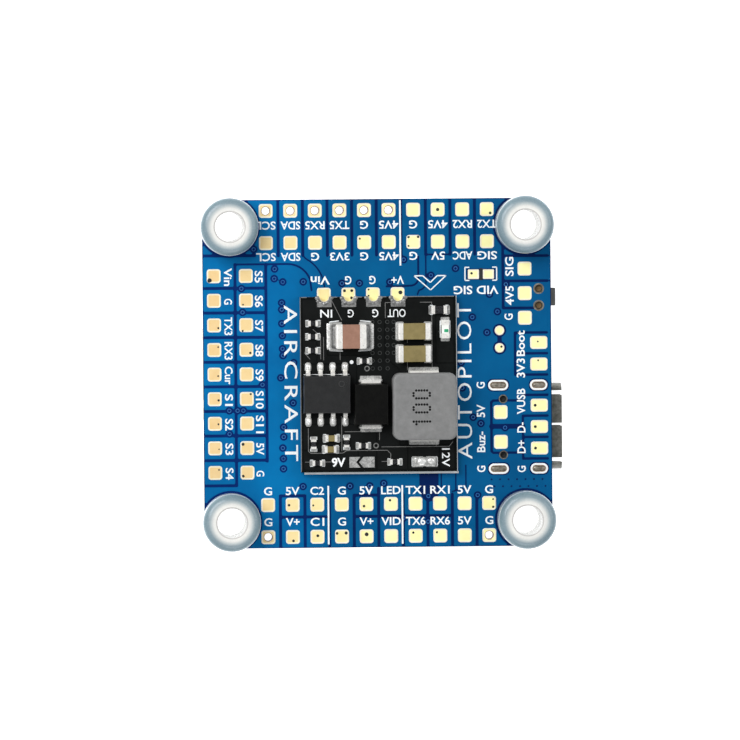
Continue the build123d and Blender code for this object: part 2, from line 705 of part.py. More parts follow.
# ------------------------------------------------------------------ side button
def side_button():
    """Side-pressed boot button: base, metal cover, plunger, snap dome and terminals."""
    where = underneath(board_edge - button_setback, button_centre_y)
    base_top = pad_thickness + button_height
    floor = pad_thickness + button_floor
    channel = plunger_width + 2 * plunger_clearance
    pocket_depth = button_pocket_back - button_front_wall
    pocket_x = -(button_front_wall + button_pocket_back) / 2
    base = block(button_depth, button_width, pad_thickness, base_top, -button_depth / 2)
    base -= block(pocket_depth, button_pocket_width, floor, base_top, pocket_x)
    base -= block(2 * button_front_wall, channel, floor, base_top, 0)
    for side in (-1, 1):
        base += rod(button_boss_radius, -button_boss_height, pad_thickness + 0.01, -button_boss_inset,
                    side * button_boss_pitch / 2)
    add("button_base", where * base)

    cover_top = base_top + button_cover_thickness
    cover = block(button_depth, button_width, base_top, cover_top, -button_depth / 2)
    skirt_y = (button_width + button_cover_thickness) / 2
    for side in (-1, 1):
        cover += block(button_depth, button_cover_thickness, cover_top - button_skirt_height, cover_top,
                       -button_depth / 2, side * skirt_y)
    add("button_cover", where * cover)

    stem_low = floor + plunger_clearance
    stem_high = base_top - plunger_clearance
    head_front = -button_front_wall - plunger_clearance
    head_back = head_front - plunger_head_depth
    nib_back = head_back - plunger_nib_depth
    stem_length = plunger_tip - head_front
    stem = block(stem_length, plunger_width, stem_low, stem_high, plunger_tip - stem_length / 2)
    stem = fillet(stem.faces().sort_by(Axis.X)[-1].edges(), 0.12)
    head = block(plunger_head_depth, plunger_head_width, stem_low, stem_high, (head_front + head_back) / 2)
    middle = (stem_low + stem_high) / 2
    nib = Pos((head_back + nib_back) / 2, 0, middle) * Rot(0, 90, 0)
    nib *= Cylinder(plunger_nib_radius, plunger_nib_depth)
    add("button_plunger", where * (stem + head + nib))

    apex = nib_back - dome_gap
    foot_x = -button_pocket_back
    arc = ThreePointArc((foot_x, -dome_width / 2), (apex - dome_thickness, 0), (foot_x, dome_width / 2))
    outer = ThreePointArc((foot_x, dome_width / 2 + dome_thickness), (apex, 0),
                          (foot_x, -dome_width / 2 - dome_thickness))
    outline = make_face([arc, Line(arc @ 1, outer @ 0), outer, Line(outer @ 1, arc @ 0)])
    dome_low = floor + dome_margin
    dome = Pos(0, 0, dome_low) * extrude(outline, amount=base_top - dome_margin - dome_low)
    add("button_dome", where * dome)

    foot_length, foot_width, foot_thickness = button_terminal_size
    for x in button_terminals_from_front:
        for side in (-1, 1):
            y = side * (button_width + foot_width) / 2
            add("button_terminals", where * block(foot_length, foot_width, pad_thickness,
                                                  pad_thickness + foot_thickness, -x, y))
            add("main_board_bottom_pads", where * pad(foot_length + 0.2, foot_width, 0, -x, y + side * 0.1, 0.1))


# ------------------------------------------------------------------ wire-to-board connectors
def connector(where, name, pins):
    """Side-entry connector with its mouth at x = 0, facing +X, and its tails behind it."""
    low = pad_thickness
    top = low + connector_height
    width = connector_pitch * (pins - 1) + 2 * connector_end_margin
    housing = block(connector_depth, width, low, top, -connector_depth / 2)
    cavity_low, cavity_high = low + connector_wall, top - connector_wall
    cavity_width = width - 2 * connector_end_wall
    housing -= block(2 * connector_cavity_depth, cavity_width, cavity_low, cavity_high)
    for side in (-1, 1):
        key_y = side * (cavity_width / 2 - connector_key_width)
        housing -= block(2 * connector_key_depth, connector_key_width, cavity_high, top + 1, 0, key_y)
    add(name + "_housing", where * housing)

    pin_length, pin_width, pin_height = connector_pin_size
    tail_length, tail_width, tail_height = connector_tail_size
    middle = (cavity_low + cavity_high) / 2
    pin_x = pin_length / 2 - connector_cavity_depth
    tail_x = -connector_depth - tail_length / 2
    for y in evenly(pins, connector_pitch):
        pin = block(pin_length, pin_width, middle - pin_height / 2, middle + pin_height / 2, pin_x, y)
        tail = block(tail_length, tail_width, low, low + tail_height, tail_x, y)
        add("connector_contacts", where * pin, where * tail)
        add("main_board_bottom_pads", where * pad(tail_length + 0.5, tail_width + 0.3, 0, tail_x, y, 0.1))

    anchor_length, anchor_thickness, anchor_height = connector_anchor_size
    anchor_x = -connector_depth / 2 + anchor_length / 2
    for side in (-1, 1):
        inner = side * (width + anchor_thickness) / 2
        anchor = block(anchor_length, anchor_thickness, low, low + anchor_height, anchor_x, inner)
        foot_y = side * (width + connector_anchor_foot) / 2
        anchor += block(anchor_length, connector_anchor_foot, low, low + anchor_thickness, anchor_x, foot_y)
        add("connector_anchor_tabs", where * anchor)
        pad_y = foot_y + side * 0.15
        add("main_board_bottom_pads", where * pad(anchor_length + 0.4, connector_anchor_foot + 0.3, 0,
                                                  anchor_x, pad_y, 0.1))


def connectors():
    """The motor-controller connector on the signal side and the video connector at the front."""
    connector(underneath(-board_edge, 0, 180), "esc_connector", esc_connector_pins)
    connector(underneath(0, -board_edge, -90), "video_connector", video_connector_pins)


# ------------------------------------------------------------------ build and write
main_board()
through_copper()
loose_top_pads()
grommets()
regulator_board()
regulator_inductor()
regulator_chip()
regulator_diode()
regulator_chip_parts()
regulator_jumpers()
processor()
overlay_chip()
flash_chip()
small_regulators()
motion_sensor()
barometer()
crystals()
five_volt_inductor()
underside_chip_parts()
usb_receptacle()
side_button()
connectors()

os.makedirs("parts", exist_ok=True)
for node_name, solids in nodes.items():
    export_step(Compound(solids), f"parts/{node_name}.step")
print(len(nodes), "nodes,", sum(len(solids) for solids in nodes.values()), "solids")
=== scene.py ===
import math
import random

import bpy
import numpy as np
from mathutils import Matrix, Vector


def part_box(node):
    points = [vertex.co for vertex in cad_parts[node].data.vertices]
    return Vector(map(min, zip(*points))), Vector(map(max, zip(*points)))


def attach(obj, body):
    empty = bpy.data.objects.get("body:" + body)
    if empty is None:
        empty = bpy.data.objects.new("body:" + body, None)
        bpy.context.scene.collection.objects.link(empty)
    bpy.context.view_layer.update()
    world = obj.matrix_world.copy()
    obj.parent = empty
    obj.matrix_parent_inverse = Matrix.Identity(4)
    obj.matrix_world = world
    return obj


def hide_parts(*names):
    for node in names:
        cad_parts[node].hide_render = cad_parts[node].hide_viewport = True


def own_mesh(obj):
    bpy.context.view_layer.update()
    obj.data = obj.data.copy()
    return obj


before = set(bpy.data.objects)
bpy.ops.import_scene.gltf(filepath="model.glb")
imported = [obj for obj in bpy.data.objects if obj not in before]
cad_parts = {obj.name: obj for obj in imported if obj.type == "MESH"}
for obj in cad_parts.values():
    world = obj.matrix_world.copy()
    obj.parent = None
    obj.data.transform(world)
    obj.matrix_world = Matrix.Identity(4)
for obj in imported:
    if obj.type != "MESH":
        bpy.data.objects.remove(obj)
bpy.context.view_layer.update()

# Lengths below are in millimetres in the frame's own axes: +Z up, -Y the flight direction.
MM = 0.001
random.seed(36)


# ------------------------------------------------------------------ reading the frame
def box_mm(node):
    """Lowest and highest corner of a CAD node, in millimetres."""
    low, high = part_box(node)
    return low / MM, high / MM


def islands(node):
    """(centre, size) of each separate solid of a CAD node, in millimetres, as numpy rows."""
    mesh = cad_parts[node].data
    points = np.zeros(len(mesh.vertices) * 3, np.float32)
    mesh.vertices.foreach_get("co", points)
    points = points.reshape(-1, 3) / MM
    _, same = np.unique(np.round(points, 3), axis=0, return_inverse=True)
    same = same.reshape(-1)
    ends = np.zeros(len(mesh.edges) * 2, np.int64)
    mesh.edges.foreach_get("vertices", ends)
    ends = same[ends].reshape(-1, 2)
    label = np.arange(same.max() + 1)
    while True:
        lowest = np.minimum(label[ends[:, 0]], label[ends[:, 1]])
        new = label.copy()
        np.minimum.at(new, ends[:, 0], lowest)
        np.minimum.at(new, ends[:, 1], lowest)
        new = new[new]
        if (new == label).all():
            break
        label = new
    found = []
    for root in np.unique(label):
        mine = points[label[same] == root]
        low, high = mine.min(0), mine.max(0)
        found.append(((low + high) / 2, high - low))
    return sorted(found, key=lambda pair: tuple(np.round(pair[0], 2)))


def flat(node_name):
    """(x, y, size_x, size_y) of each separate solid of a CAD node, seen from above."""
    return [(centre[0], centre[1], size[0], size[1]) for centre, size in islands(node_name)]


board_low, board_high = box_mm("main_board")
board_edge = board_high.x
board_top, board_bottom = board_high.z, board_low.z
regulator_low, regulator_high = box_mm("regulator_board")
regulator_top = regulator_high.z
regulator_centre = (regulator_low + regulator_high) / 2
grommet_low, grommet_high = box_mm("grommet_rear_usb_side")
grommet_centre = (grommet_low + grommet_high) / 2
hole_half_pitch = grommet_centre.x


# ------------------------------------------------------------------ node materials
def node(tree, kind, **inputs):
    """Adds a shader node and sets the sockets given by name (underscores for spaces)."""
    made = tree.nodes.new(kind)
    for name, value in inputs.items():
        made.inputs[name.replace("_", " ")].default_value = value
    return made


def feed(tree, value, socket):
    """Links an output to a socket, or sets a fixed value on it."""
    if isinstance(value, bpy.types.NodeSocket):
        tree.links.new(value, socket)
    else:
        socket.default_value = value


def vector_math(tree, operation, *values):
    """A node for one vector operation on outputs or fixed vectors."""
    made = tree.nodes.new("ShaderNodeVectorMath")
    made.operation = operation
    for value, socket in zip(values, made.inputs):
        feed(tree, value, socket)
    return made


def blend(tree, first, second, factor, kind="MIX"):
    """A colour mixed from two, where each value is an output or fixed."""
    mix = tree.nodes.new("ShaderNodeMix")
    mix.data_type = "RGBA"
    mix.blend_type = kind
    colours = [socket for socket in mix.inputs if socket.type == "RGBA"]
    feed(tree, first, colours[0])
    feed(tree, second, colours[1])
    feed(tree, factor, mix.inputs["Factor"])
    return [socket for socket in mix.outputs if socket.type == "RGBA"][0]


def ranged(tree, value, interpolation="LINEAR", **limits):
    """An output rescaled from one range to another."""
    scale = node(tree, "ShaderNodeMapRange", **limits)
    scale.interpolation_type = interpolation
    tree.links.new(value, scale.inputs["Value"])
    return scale.outputs["Result"]


def tinted(tree, base, length, bands, interpolation="LINEAR"):
    """A colour multiplied by bands of (millimetres, tint) along a length, in rising order."""
    first, last = bands[0][0], bands[-1][0]
    share = ranged(tree, length, interpolation, From_Min=first * MM, From_Max=last * MM)
    ramp = tree.nodes.new("ShaderNodeValToRGB")
    elements = ramp.color_ramp.elements
    while len(elements) < len(bands):
        elements.new(0.5)
    for element, (reach, colour) in zip(elements, bands):
        element.position = (reach - first) / (last - first)
        element.color = (*colour, 1)
    tree.links.new(share, ramp.inputs["Fac"])
    return blend(tree, base, ramp.outputs["Color"], 1.0, "MULTIPLY")


def finish(name, light, dark, rough=(0.35, 0.5), metallic=0.0, mottle=900.0, grain=9000.0, bump=0.01,
           edge_highlight_colour=None, coat=0.0, specular=0.5, painted_glow=0.0, drift=None):
    """A procedural finish: mottled colour, uneven roughness, fine bump and, if wanted, a painted highlight on
    its edges.

    drift gives tints by place along x: painted shade on the blue mask, darker towards +x, and on the gold a
    darker, redder tint towards -x.
    """
    material = bpy.data.materials.new(name)
    material.use_nodes = True
    tree = material.node_tree
    link = tree.links.new
    shader = tree.nodes["Principled BSDF"]
    shader.inputs["Metallic"].default_value = metallic
    shader.inputs["Coat Weight"].default_value = coat
    shader.inputs["Coat Roughness"].default_value = 0.12
    shader.inputs["Specular IOR Level"].default_value = specular
    place = node(tree, "ShaderNodeTexCoord").outputs["Object"]
    patches = node(tree, "ShaderNodeTexNoise", Scale=mottle, Detail=4.0, Roughness=0.6)
    link(place, patches.inputs["Vector"])
    spread = ranged(tree, patches.outputs["Fac"], From_Min=0.3, From_Max=0.7)
    colour = blend(tree, (*dark, 1), (*light, 1), spread)
    # tints by place along x; on the blue mask they are painted shade
    if drift:
        apart = tree.nodes.new("ShaderNodeSeparateXYZ")
        link(place, apart.inputs["Vector"])
        colour = tinted(tree, colour, apart.outputs["X"], drift, "SMOOTHSTEP")
    # painted highlight: edges lightened towards a paler colour
    if edge_highlight_colour:
        colour = paint_edge_highlight(tree, colour, edge_highlight_colour)
    link(colour, shader.inputs["Base Color"])
    # painted light: the colour also glows, though the part is no lamp
    if painted_glow:
        link(colour, shader.inputs["Emission Color"])
        shader.inputs["Emission Strength"].default_value = painted_glow
    speckle = node(tree, "ShaderNodeTexNoise", Scale=grain, Detail=3.0, Roughness=0.7)
    link(place, speckle.inputs["Vector"])
    gloss = ranged(tree, speckle.outputs["Fac"], From_Min=0.35, From_Max=0.65, To_Min=rough[0],
                   To_Max=rough[1])
    link(gloss, shader.inputs["Roughness"])
    relief = node(tree, "ShaderNodeBump", Strength=0.6, Distance=bump * MM)
    link(speckle.outputs["Fac"], relief.inputs["Height"])
    link(relief.outputs["Normal"], shader.inputs["Normal"])
    return material


def paint_edge_highlight(tree, base, edge_highlight_colour):
    """Painted highlight on edges: where a rounded normal leaves the true one, the colour goes to the paler
    highlight colour.
    """
    rounded = node(tree, "ShaderNodeBevel", Radius=0.06 * MM).outputs["Normal"]
    true = node(tree, "ShaderNodeNewGeometry").outputs["Normal"]
    turn = vector_math(tree, "DOT_PRODUCT", rounded, true).outputs["Value"]
    amount = ranged(tree, turn, From_Min=0.995, From_Max=0.85, To_Max=0.8)
    return blend(tree, base, (*edge_highlight_colour, 1), amount)


# Painted light and shade on the rubber by distance from a grommet's axis, from its bore to its rim: pale rings
# for light through the thin rubber and a highlight on the rounded rim, dark bands for shade.
SILICONE_PAINTED_LIGHT_BANDS = ((1.50, (0.95, 0.95, 0.93)), (1.60, (0.56, 0.53, 0.50)), (1.70, (0.94, 0.93, 0.88)),
                  (1.92, (0.84, 0.83, 0.79)), (2.14, (0.56, 0.61, 0.61)), (2.40, (0.27, 0.35, 0.39)),
                  (2.84, (0.19, 0.28, 0.32)), (2.93, (0.26, 0.35, 0.40)), (2.975, (0.90, 0.95, 0.98)),
                  (3.02, (0.14, 0.22, 0.25)))


def silicone():
    """Milky rubber with painted light and shade in rings: pale where light would pass the thin rubber round the
    bore, a painted highlight along its rounded rim, darker between.
    """
    material = finish("silicone", (1.0, 1.0, 1.0), (0.86, 0.87, 0.88), (0.2, 0.32), 0.0, 450, 5000, 0.008,
                      specular=0.35, coat=0.15)
    tree = material.node_tree
    colour = tree.nodes["Principled BSDF"].inputs["Base Color"]
    place = node(tree, "ShaderNodeTexCoord").outputs["Object"]
    folded = vector_math(tree, "ABSOLUTE", place).outputs["Vector"]
    axis = (hole_half_pitch * MM, hole_half_pitch * MM, 0)
    offset = vector_math(tree, "SUBTRACT", folded, axis).outputs["Vector"]
    flat = vector_math(tree, "MULTIPLY", offset, (1, 1, 0)).outputs["Vector"]
    radius = vector_math(tree, "LENGTH", flat).outputs["Value"]
    # painted light and shade: the colour is tinted in rings by distance from the axis
    tree.links.new(tinted(tree, colour.links[0].from_socket, radius, SILICONE_PAINTED_LIGHT_BANDS), colour)
    return material


# Painted shade: the blue mask is tinted darker from x = -11.5 mm towards +x.
BLUE_PAINTED_SHADE = ((-11.5, (1.0, 1.0, 1.0)), (-3.0, (0.3, 0.63, 0.64)))
MASK_TEXTURE = dict(rough=(0.35, 0.45), grain=2600, bump=0.005, specular=0.08, drift=BLUE_PAINTED_SHADE)
BLACK_MASK_TEXTURE = dict(rough=(0.4, 0.55), mottle=500, grain=3000)
LAMINATE_TEXTURE = dict(rough=(0.5, 0.7), mottle=2500, bump=0.03)
INK_TEXTURE = dict(rough=(0.45, 0.6), mottle=2500, grain=12000, bump=0.015)
NYLON_TEXTURE = dict(mottle=900, grain=6000, bump=0.03)
CERAMIC_TEXTURE = dict(mottle=1500, grain=7000)
EPOXY_TEXTURE = dict(mottle=1400, grain=8000, bump=0.03)
PLATING_TEXTURE = dict(mottle=900, grain=8000)
MARK_TEXTURE = dict(rough=(0.6, 0.8), mottle=900, grain=6000)

MASK_COPPER = finish("mask_over_copper", (0.0, 0.170, 0.43), (0.0, 0.120, 0.33), mottle=150, **MASK_TEXTURE)
MASK_BARE = finish("mask_over_laminate", (0.0, 0.024, 0.150), (0.0, 0.017, 0.115), mottle=300, **MASK_TEXTURE)
MASK_BLACK = finish("black_mask", (0.0040, 0.0050, 0.0048), (0.0018, 0.0024, 0.0022), specular=0.06,
                    **BLACK_MASK_TEXTURE)
MASK_BLACK_COPPER = finish("black_mask_over_copper", (0.0075, 0.0085, 0.0083), (0.0045, 0.0052, 0.0050),
                           specular=0.07, **BLACK_MASK_TEXTURE)
LAMINATE = finish("laminate_edge", (0.20, 0.26, 0.22), (0.08, 0.13, 0.12), **LAMINATE_TEXTURE)
LAMINATE_BLACK = finish("black_laminate_edge", (0.42, 0.42, 0.40), (0.2, 0.2, 0.19), **LAMINATE_TEXTURE)
# Pale gold that glows a little: painted light brightening the pads. Its drift is darker and redder towards -x.
GOLD = finish("pad_gold", (1.0, 0.98, 0.50), (0.95, 0.88, 0.40), (0.4, 0.55), 0.05, 700, 6000, 0.015,
              painted_glow=0.05, drift=((-18.0, (0.86, 0.64, 0.62)), (6.0, (1.0, 1.0, 1.0))))
# Paler gold for pad rims and the half-hole plating: a painted highlight.
GOLD_HIGHLIGHT = finish("pad_rim_painted_highlight", (1.0, 0.96, 0.80), (0.92, 0.82, 0.58), (0.3, 0.45), 0.15, bump=0.012,
                  **PLATING_TEXTURE)
# Plating darkened to brown: painted shade on the hole walls and the lips of pierced pads.
SHADED_BARREL = finish("hole_plating_painted_shade", (0.62, 0.42, 0.25), (0.36, 0.22, 0.12), (0.3, 0.5), 0.3, bump=0.02,
                **PLATING_TEXTURE)
# Near black, for the discs on the pads' vias and the jumper's gap.
VIA_DARK = finish("dark_via_and_gap", (0.012, 0.012, 0.012), (0.004, 0.004, 0.004), (0.4, 0.6), bump=0.02,
                  **PLATING_TEXTURE)
VIA_RING = finish("via_ring", (0.03, 0.17, 0.42), (0.01, 0.10, 0.32), (0.3, 0.4), **PLATING_TEXTURE)
# White ink, also used on the slot pads as a painted highlight.
WHITE_INK_AND_RIM_HIGHLIGHT = finish("white_ink_and_rim_highlight", (0.95, 0.97, 0.97), (0.86, 0.90, 0.92), **INK_TEXTURE)
# Faint grey for the black board's traces and vias, and for painted highlight lines on its edges.
FAINT_MARKS_AND_EDGE_HIGHLIGHT = finish("faint_marks_and_painted_edge_lines", (0.21, 0.21, 0.20), (0.11, 0.11, 0.11), **INK_TEXTURE)
VIA_GREY = finish("black_via_ring", (0.055, 0.06, 0.058), (0.025, 0.028, 0.027), (0.3, 0.5), 0.0, 2500,
                  9000, 0.01)
SILICONE = silicone()
# Solder's own silver, made near white with little metal: partly a painted highlight, so it reads as bright as a
# glint.
SOLDER = finish("solder", (1.0, 1.0, 0.98), (0.80, 0.79, 0.76), (0.16, 0.34), 0.45, 1500, 4200, 0.02)
# Darker solder, on the input capacitor, the half-hole beads and the lands at the board's rear edge.
SOLDER_DARK = finish("dark_solder", (0.36, 0.36, 0.35), (0.12, 0.12, 0.12), (0.25, 0.5), 0.6, 2600, 6000,
                     0.06)
TIN = finish("tin_plate", (1.0, 0.98, 0.93), (0.80, 0.78, 0.73), (0.25, 0.42), 0.3, 1800, 6000, 0.02)
SOLDER_GREY = finish("grey_solder", (0.62, 0.62, 0.60), (0.30, 0.30, 0.29), (0.2, 0.4), 0.4, 2200, 5200, 0.04)
# Nickel given a dark base colour: a painted reflection of the dark camera side on its flat faces.
# The paler edge colours given below are painted highlights on the parts' edges.
NICKEL_PAINTED_DARK_REFLECTION = finish("shell_nickel_painted_reflection", (0.27, 0.27, 0.245), (0.12, 0.12, 0.105), (0.28, 0.44), 0.75, 2600, 5000, 0.02,
               edge_highlight_colour=(0.62, 0.61, 0.58))
CAN = finish("can_metal", (0.72, 0.70, 0.66), (0.58, 0.57, 0.54), (0.25, 0.4), 0.85, 900, 5000, 0.02,
             edge_highlight_colour=(0.9, 0.89, 0.86))
CHIP = finish("moulded_epoxy", (0.0145, 0.015, 0.0155), (0.008, 0.0085, 0.009), (0.42, 0.6),
              edge_highlight_colour=(0.075, 0.078, 0.08), specular=0.3, **EPOXY_TEXTURE)
DIODE = finish("diode_epoxy", (0.0045, 0.0045, 0.004), (0.0022, 0.0022, 0.002), (0.4, 0.55),
               edge_highlight_colour=(0.03, 0.03, 0.03), specular=0.08, **EPOXY_TEXTURE)
FERRITE = finish("pressed_iron", (0.235, 0.235, 0.232), (0.185, 0.185, 0.183), (0.42, 0.62), 0.1, 1600,
                 7000, 0.045, edge_highlight_colour=(0.42, 0.42, 0.41))
CODE_RING = finish("mould_mark", (0.004, 0.004, 0.004), (0.002, 0.002, 0.002), **MARK_TEXTURE)
BROWN = finish("brown_ceramic", (0.36, 0.185, 0.125), (0.28, 0.14, 0.09), (0.4, 0.6), bump=0.03,
               **CERAMIC_TEXTURE)
TAN = finish("tan_ceramic", (0.27, 0.21, 0.075), (0.20, 0.155, 0.05), (0.4, 0.6), bump=0.03, **CERAMIC_TEXTURE)
RESISTOR = finish("resistor_glaze", (0.02, 0.02, 0.022), (0.008, 0.008, 0.009), (0.2, 0.4), bump=0.02,
                  **CERAMIC_TEXTURE)
LAMP = finish("lamp_resin", (1.0, 1.0, 0.97), (0.88, 0.90, 0.84), (0.15, 0.3), bump=0.02, coat=0.5,
              **CERAMIC_TEXTURE)
LAMP_GREEN = finish("lamp_mark", (0.02, 0.45, 0.2), (0.01, 0.26, 0.11), (0.3, 0.5), bump=0.02,
                    **CERAMIC_TEXTURE)
IVORY = finish("ivory_nylon", (0.78, 0.74, 0.63), (0.70, 0.66, 0.55), (0.4, 0.55), edge_highlight_colour=(0.86, 0.83, 0.74),
               **NYLON_TEXTURE)
BLACK_NYLON = finish("black_nylon", (0.022, 0.022, 0.022), (0.012, 0.012, 0.012), (0.4, 0.6),
                     **NYLON_TEXTURE)
BUTTON_GREY = finish("plunger_nylon", (0.19, 0.19, 0.185), (0.13, 0.13, 0.127), (0.4, 0.55),
                     edge_highlight_colour=(0.4, 0.4, 0.39), **NYLON_TEXTURE)
BUTTON_TAN = finish("switch_base", (0.26, 0.15, 0.05), (0.12, 0.07, 0.03), (0.4, 0.6), 0.0, 1900, 6000, 0.03)
CONTACT = finish("contact_gold", (0.95, 0.74, 0.36), (0.8, 0.6, 0.28), (0.2, 0.34), 0.95, 900, 6000, 0.01)
SENSOR_BASE = finish("sensor_base", (0.05, 0.11, 0.05), (0.03, 0.07, 0.03), (0.4, 0.6), 0.0, 900, 6000, 0.02)
BLACK_MARK = finish("burnt_mark", (0.008, 0.008, 0.008), (0.003, 0.003, 0.003), specular=0.1,
                    **MARK_TEXTURE)
FLUX = finish("leg_solder", (0.34, 0.31, 0.26), (0.10, 0.085, 0.06), (0.25, 0.5), 0.5, 2600, 5000, 0.05)


# ------------------------------------------------------------------ mesh helpers
class Shape:
    """Collects points, faces and each face's material number for one piece, in millimetres."""

    def __init__(self):
        self.points = []
        self.faces = []
        self.kinds = []

    def loop(self, ring):
        """Adds a ring of points and returns their numbers."""
        first = len(self.points)
        self.points.extend(ring)
        return list(range(first, len(self.points)))

    def bridge(self, lower, upper, kind=0):
        """Joins two rings of the same length with quads."""
        count = len(lower)
        for index in range(count):
            after = (index + 1) % count
            self.faces.append((lower[index], lower[after], upper[after], upper[index]))
            self.kinds.append(kind)

    def cap(self, ring, kind=0, flip=False):
        """Closes a ring with one face."""
        self.faces.append(tuple(reversed(ring)) if flip else tuple(ring))
        self.kinds.append(kind)

    def stack(self, rings, kinds=None, close_low=True, close_high=True):
        """Bridges a pile of rings, lowest first, and closes its ends."""
        loops = [self.loop(ring) for ring in rings]
        kinds = kinds or [0] * len(loops)
        for index in range(len(loops) - 1):
            self.bridge(loops[index], loops[index + 1], kinds[index])
        if close_low:
            self.cap(loops[0], kinds[0], flip=True)
        if close_high:
            self.cap(loops[-1], kinds[-1])

    def join(self, other):
        """Takes in another shape's points and faces."""
        first = len(self.points)
        self.points += other.points
        self.faces += [tuple(number + first for number in face) for face in other.faces]
        self.kinds += other.kinds

    def make(self, name, materials, slot, body="board", smooth=False, stands_for=()):
        """Makes the object, gives it its finish and body; slot is not used."""
        mesh = bpy.data.meshes.new(name)
        mesh.from_pydata([(x * MM, y * MM, z * MM) for x, y, z in self.points], [], self.faces)
        mesh.polygons.foreach_set("material_index", self.kinds)
        mesh.polygons.foreach_set("use_smooth", [smooth] * len(self.faces))
        mesh.update()
        return settle(bpy.data.objects.new(name, mesh), materials, body, stands_for)


def settle(made, materials, body="board", stands_for=()):
    """Links an object, gives it materials and puts it in the frame."""
    bpy.context.scene.collection.objects.link(made)
    for material in materials:
        made.data.materials.append(material)
    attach(made, body)
    if stands_for:
        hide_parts(*stands_for)
    return made


def round_ring(x, y, z, half_x, half_y, corner, steps=5):
    """A rounded rectangle's outline, anticlockwise from its lower right corner."""
    corner = max(min(corner, half_x, half_y), 0.001)
    ring = []
    for quarter, (side_x, side_y) in enumerate(((1, -1), (1, 1), (-1, 1), (-1, -1))):
        for step in range(steps + 1):
            angle = math.radians(-90 + 90 * quarter + 90 * step / steps)
            ring.append((x + side_x * (half_x - corner) + corner * math.cos(angle),
                         y + side_y * (half_y - corner) + corner * math.sin(angle), z))
    return ring


def circle_ring(x, y, z, radius, steps=5):
    """A circle with its points in step with a rounded rectangle's."""
    return round_ring(x, y, z, radius, radius, radius, steps)


def disc(shape, x, y, z, radius, height=0.02, kind=0):
    """A low round button with a soft edge."""
    shape.stack([circle_ring(x, y, z, radius), circle_ring(x, y, z + 0.6 * height, radius),
                 circle_ring(x, y, z + height, 0.8 * radius)], [kind] * 3)


def ring(shape, x, y, z, outer, inner, height=0.02, kind=0):
    """A low washer."""
    loops = [circle_ring(x, y, z, outer), circle_ring(x, y, z + height, outer - 0.02),
             circle_ring(x, y, z + height, inner + 0.02), circle_ring(x, y, z, inner)]
    loops = [shape.loop(points) for points in loops]
    for index in range(4):
        shape.bridge(loops[index], loops[(index + 1) % 4], kind)


def dress(node_name, *materials):
    """Gives a CAD node a better finish in every slot it has."""
    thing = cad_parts[node_name]
    thing.data.materials.clear()
    for material in materials:
        thing.data.materials.append(material)
    return thing


def dress_board(node_name, face_material, edge_material):
    """A circuit board: mask on its flat faces, bare laminate on its sides and hole walls."""
    thing = dress(node_name, face_material, edge_material)
    for face in thing.data.polygons:
        face.material_index = 0 if abs(face.normal.z) > 0.9 else 1
        face.use_smooth = False


# ------------------------------------------------------------------ copper under the mask
def capsule_distance(grid_x, grid_y, start, end, width):
    """Distance from each grid point to a straight channel with round ends."""
    ax, ay = start
    bx, by = end
    length_sq = max((bx - ax) ** 2 + (by - ay) ** 2, 1e-9)
    along = ((grid_x - ax) * (bx - ax) + (grid_y - ay) * (by - ay)) / length_sq
    along = np.clip(along, 0, 1)
    return np.hypot(grid_x - ax - along * (bx - ax), grid_y - ay - along * (by - ay)) - width / 2


def box_distance(grid_x, grid_y, x, y, half_x, half_y, corner=0.0):
    """Distance from each grid point to a rounded rectangle."""
    dx = np.abs(grid_x - x) - half_x + corner
    dy = np.abs(grid_y - y) - half_y + corner
    outside = np.hypot(np.maximum(dx, 0), np.maximum(dy, 0))
    return outside + np.minimum(np.maximum(dx, dy), 0) - corner


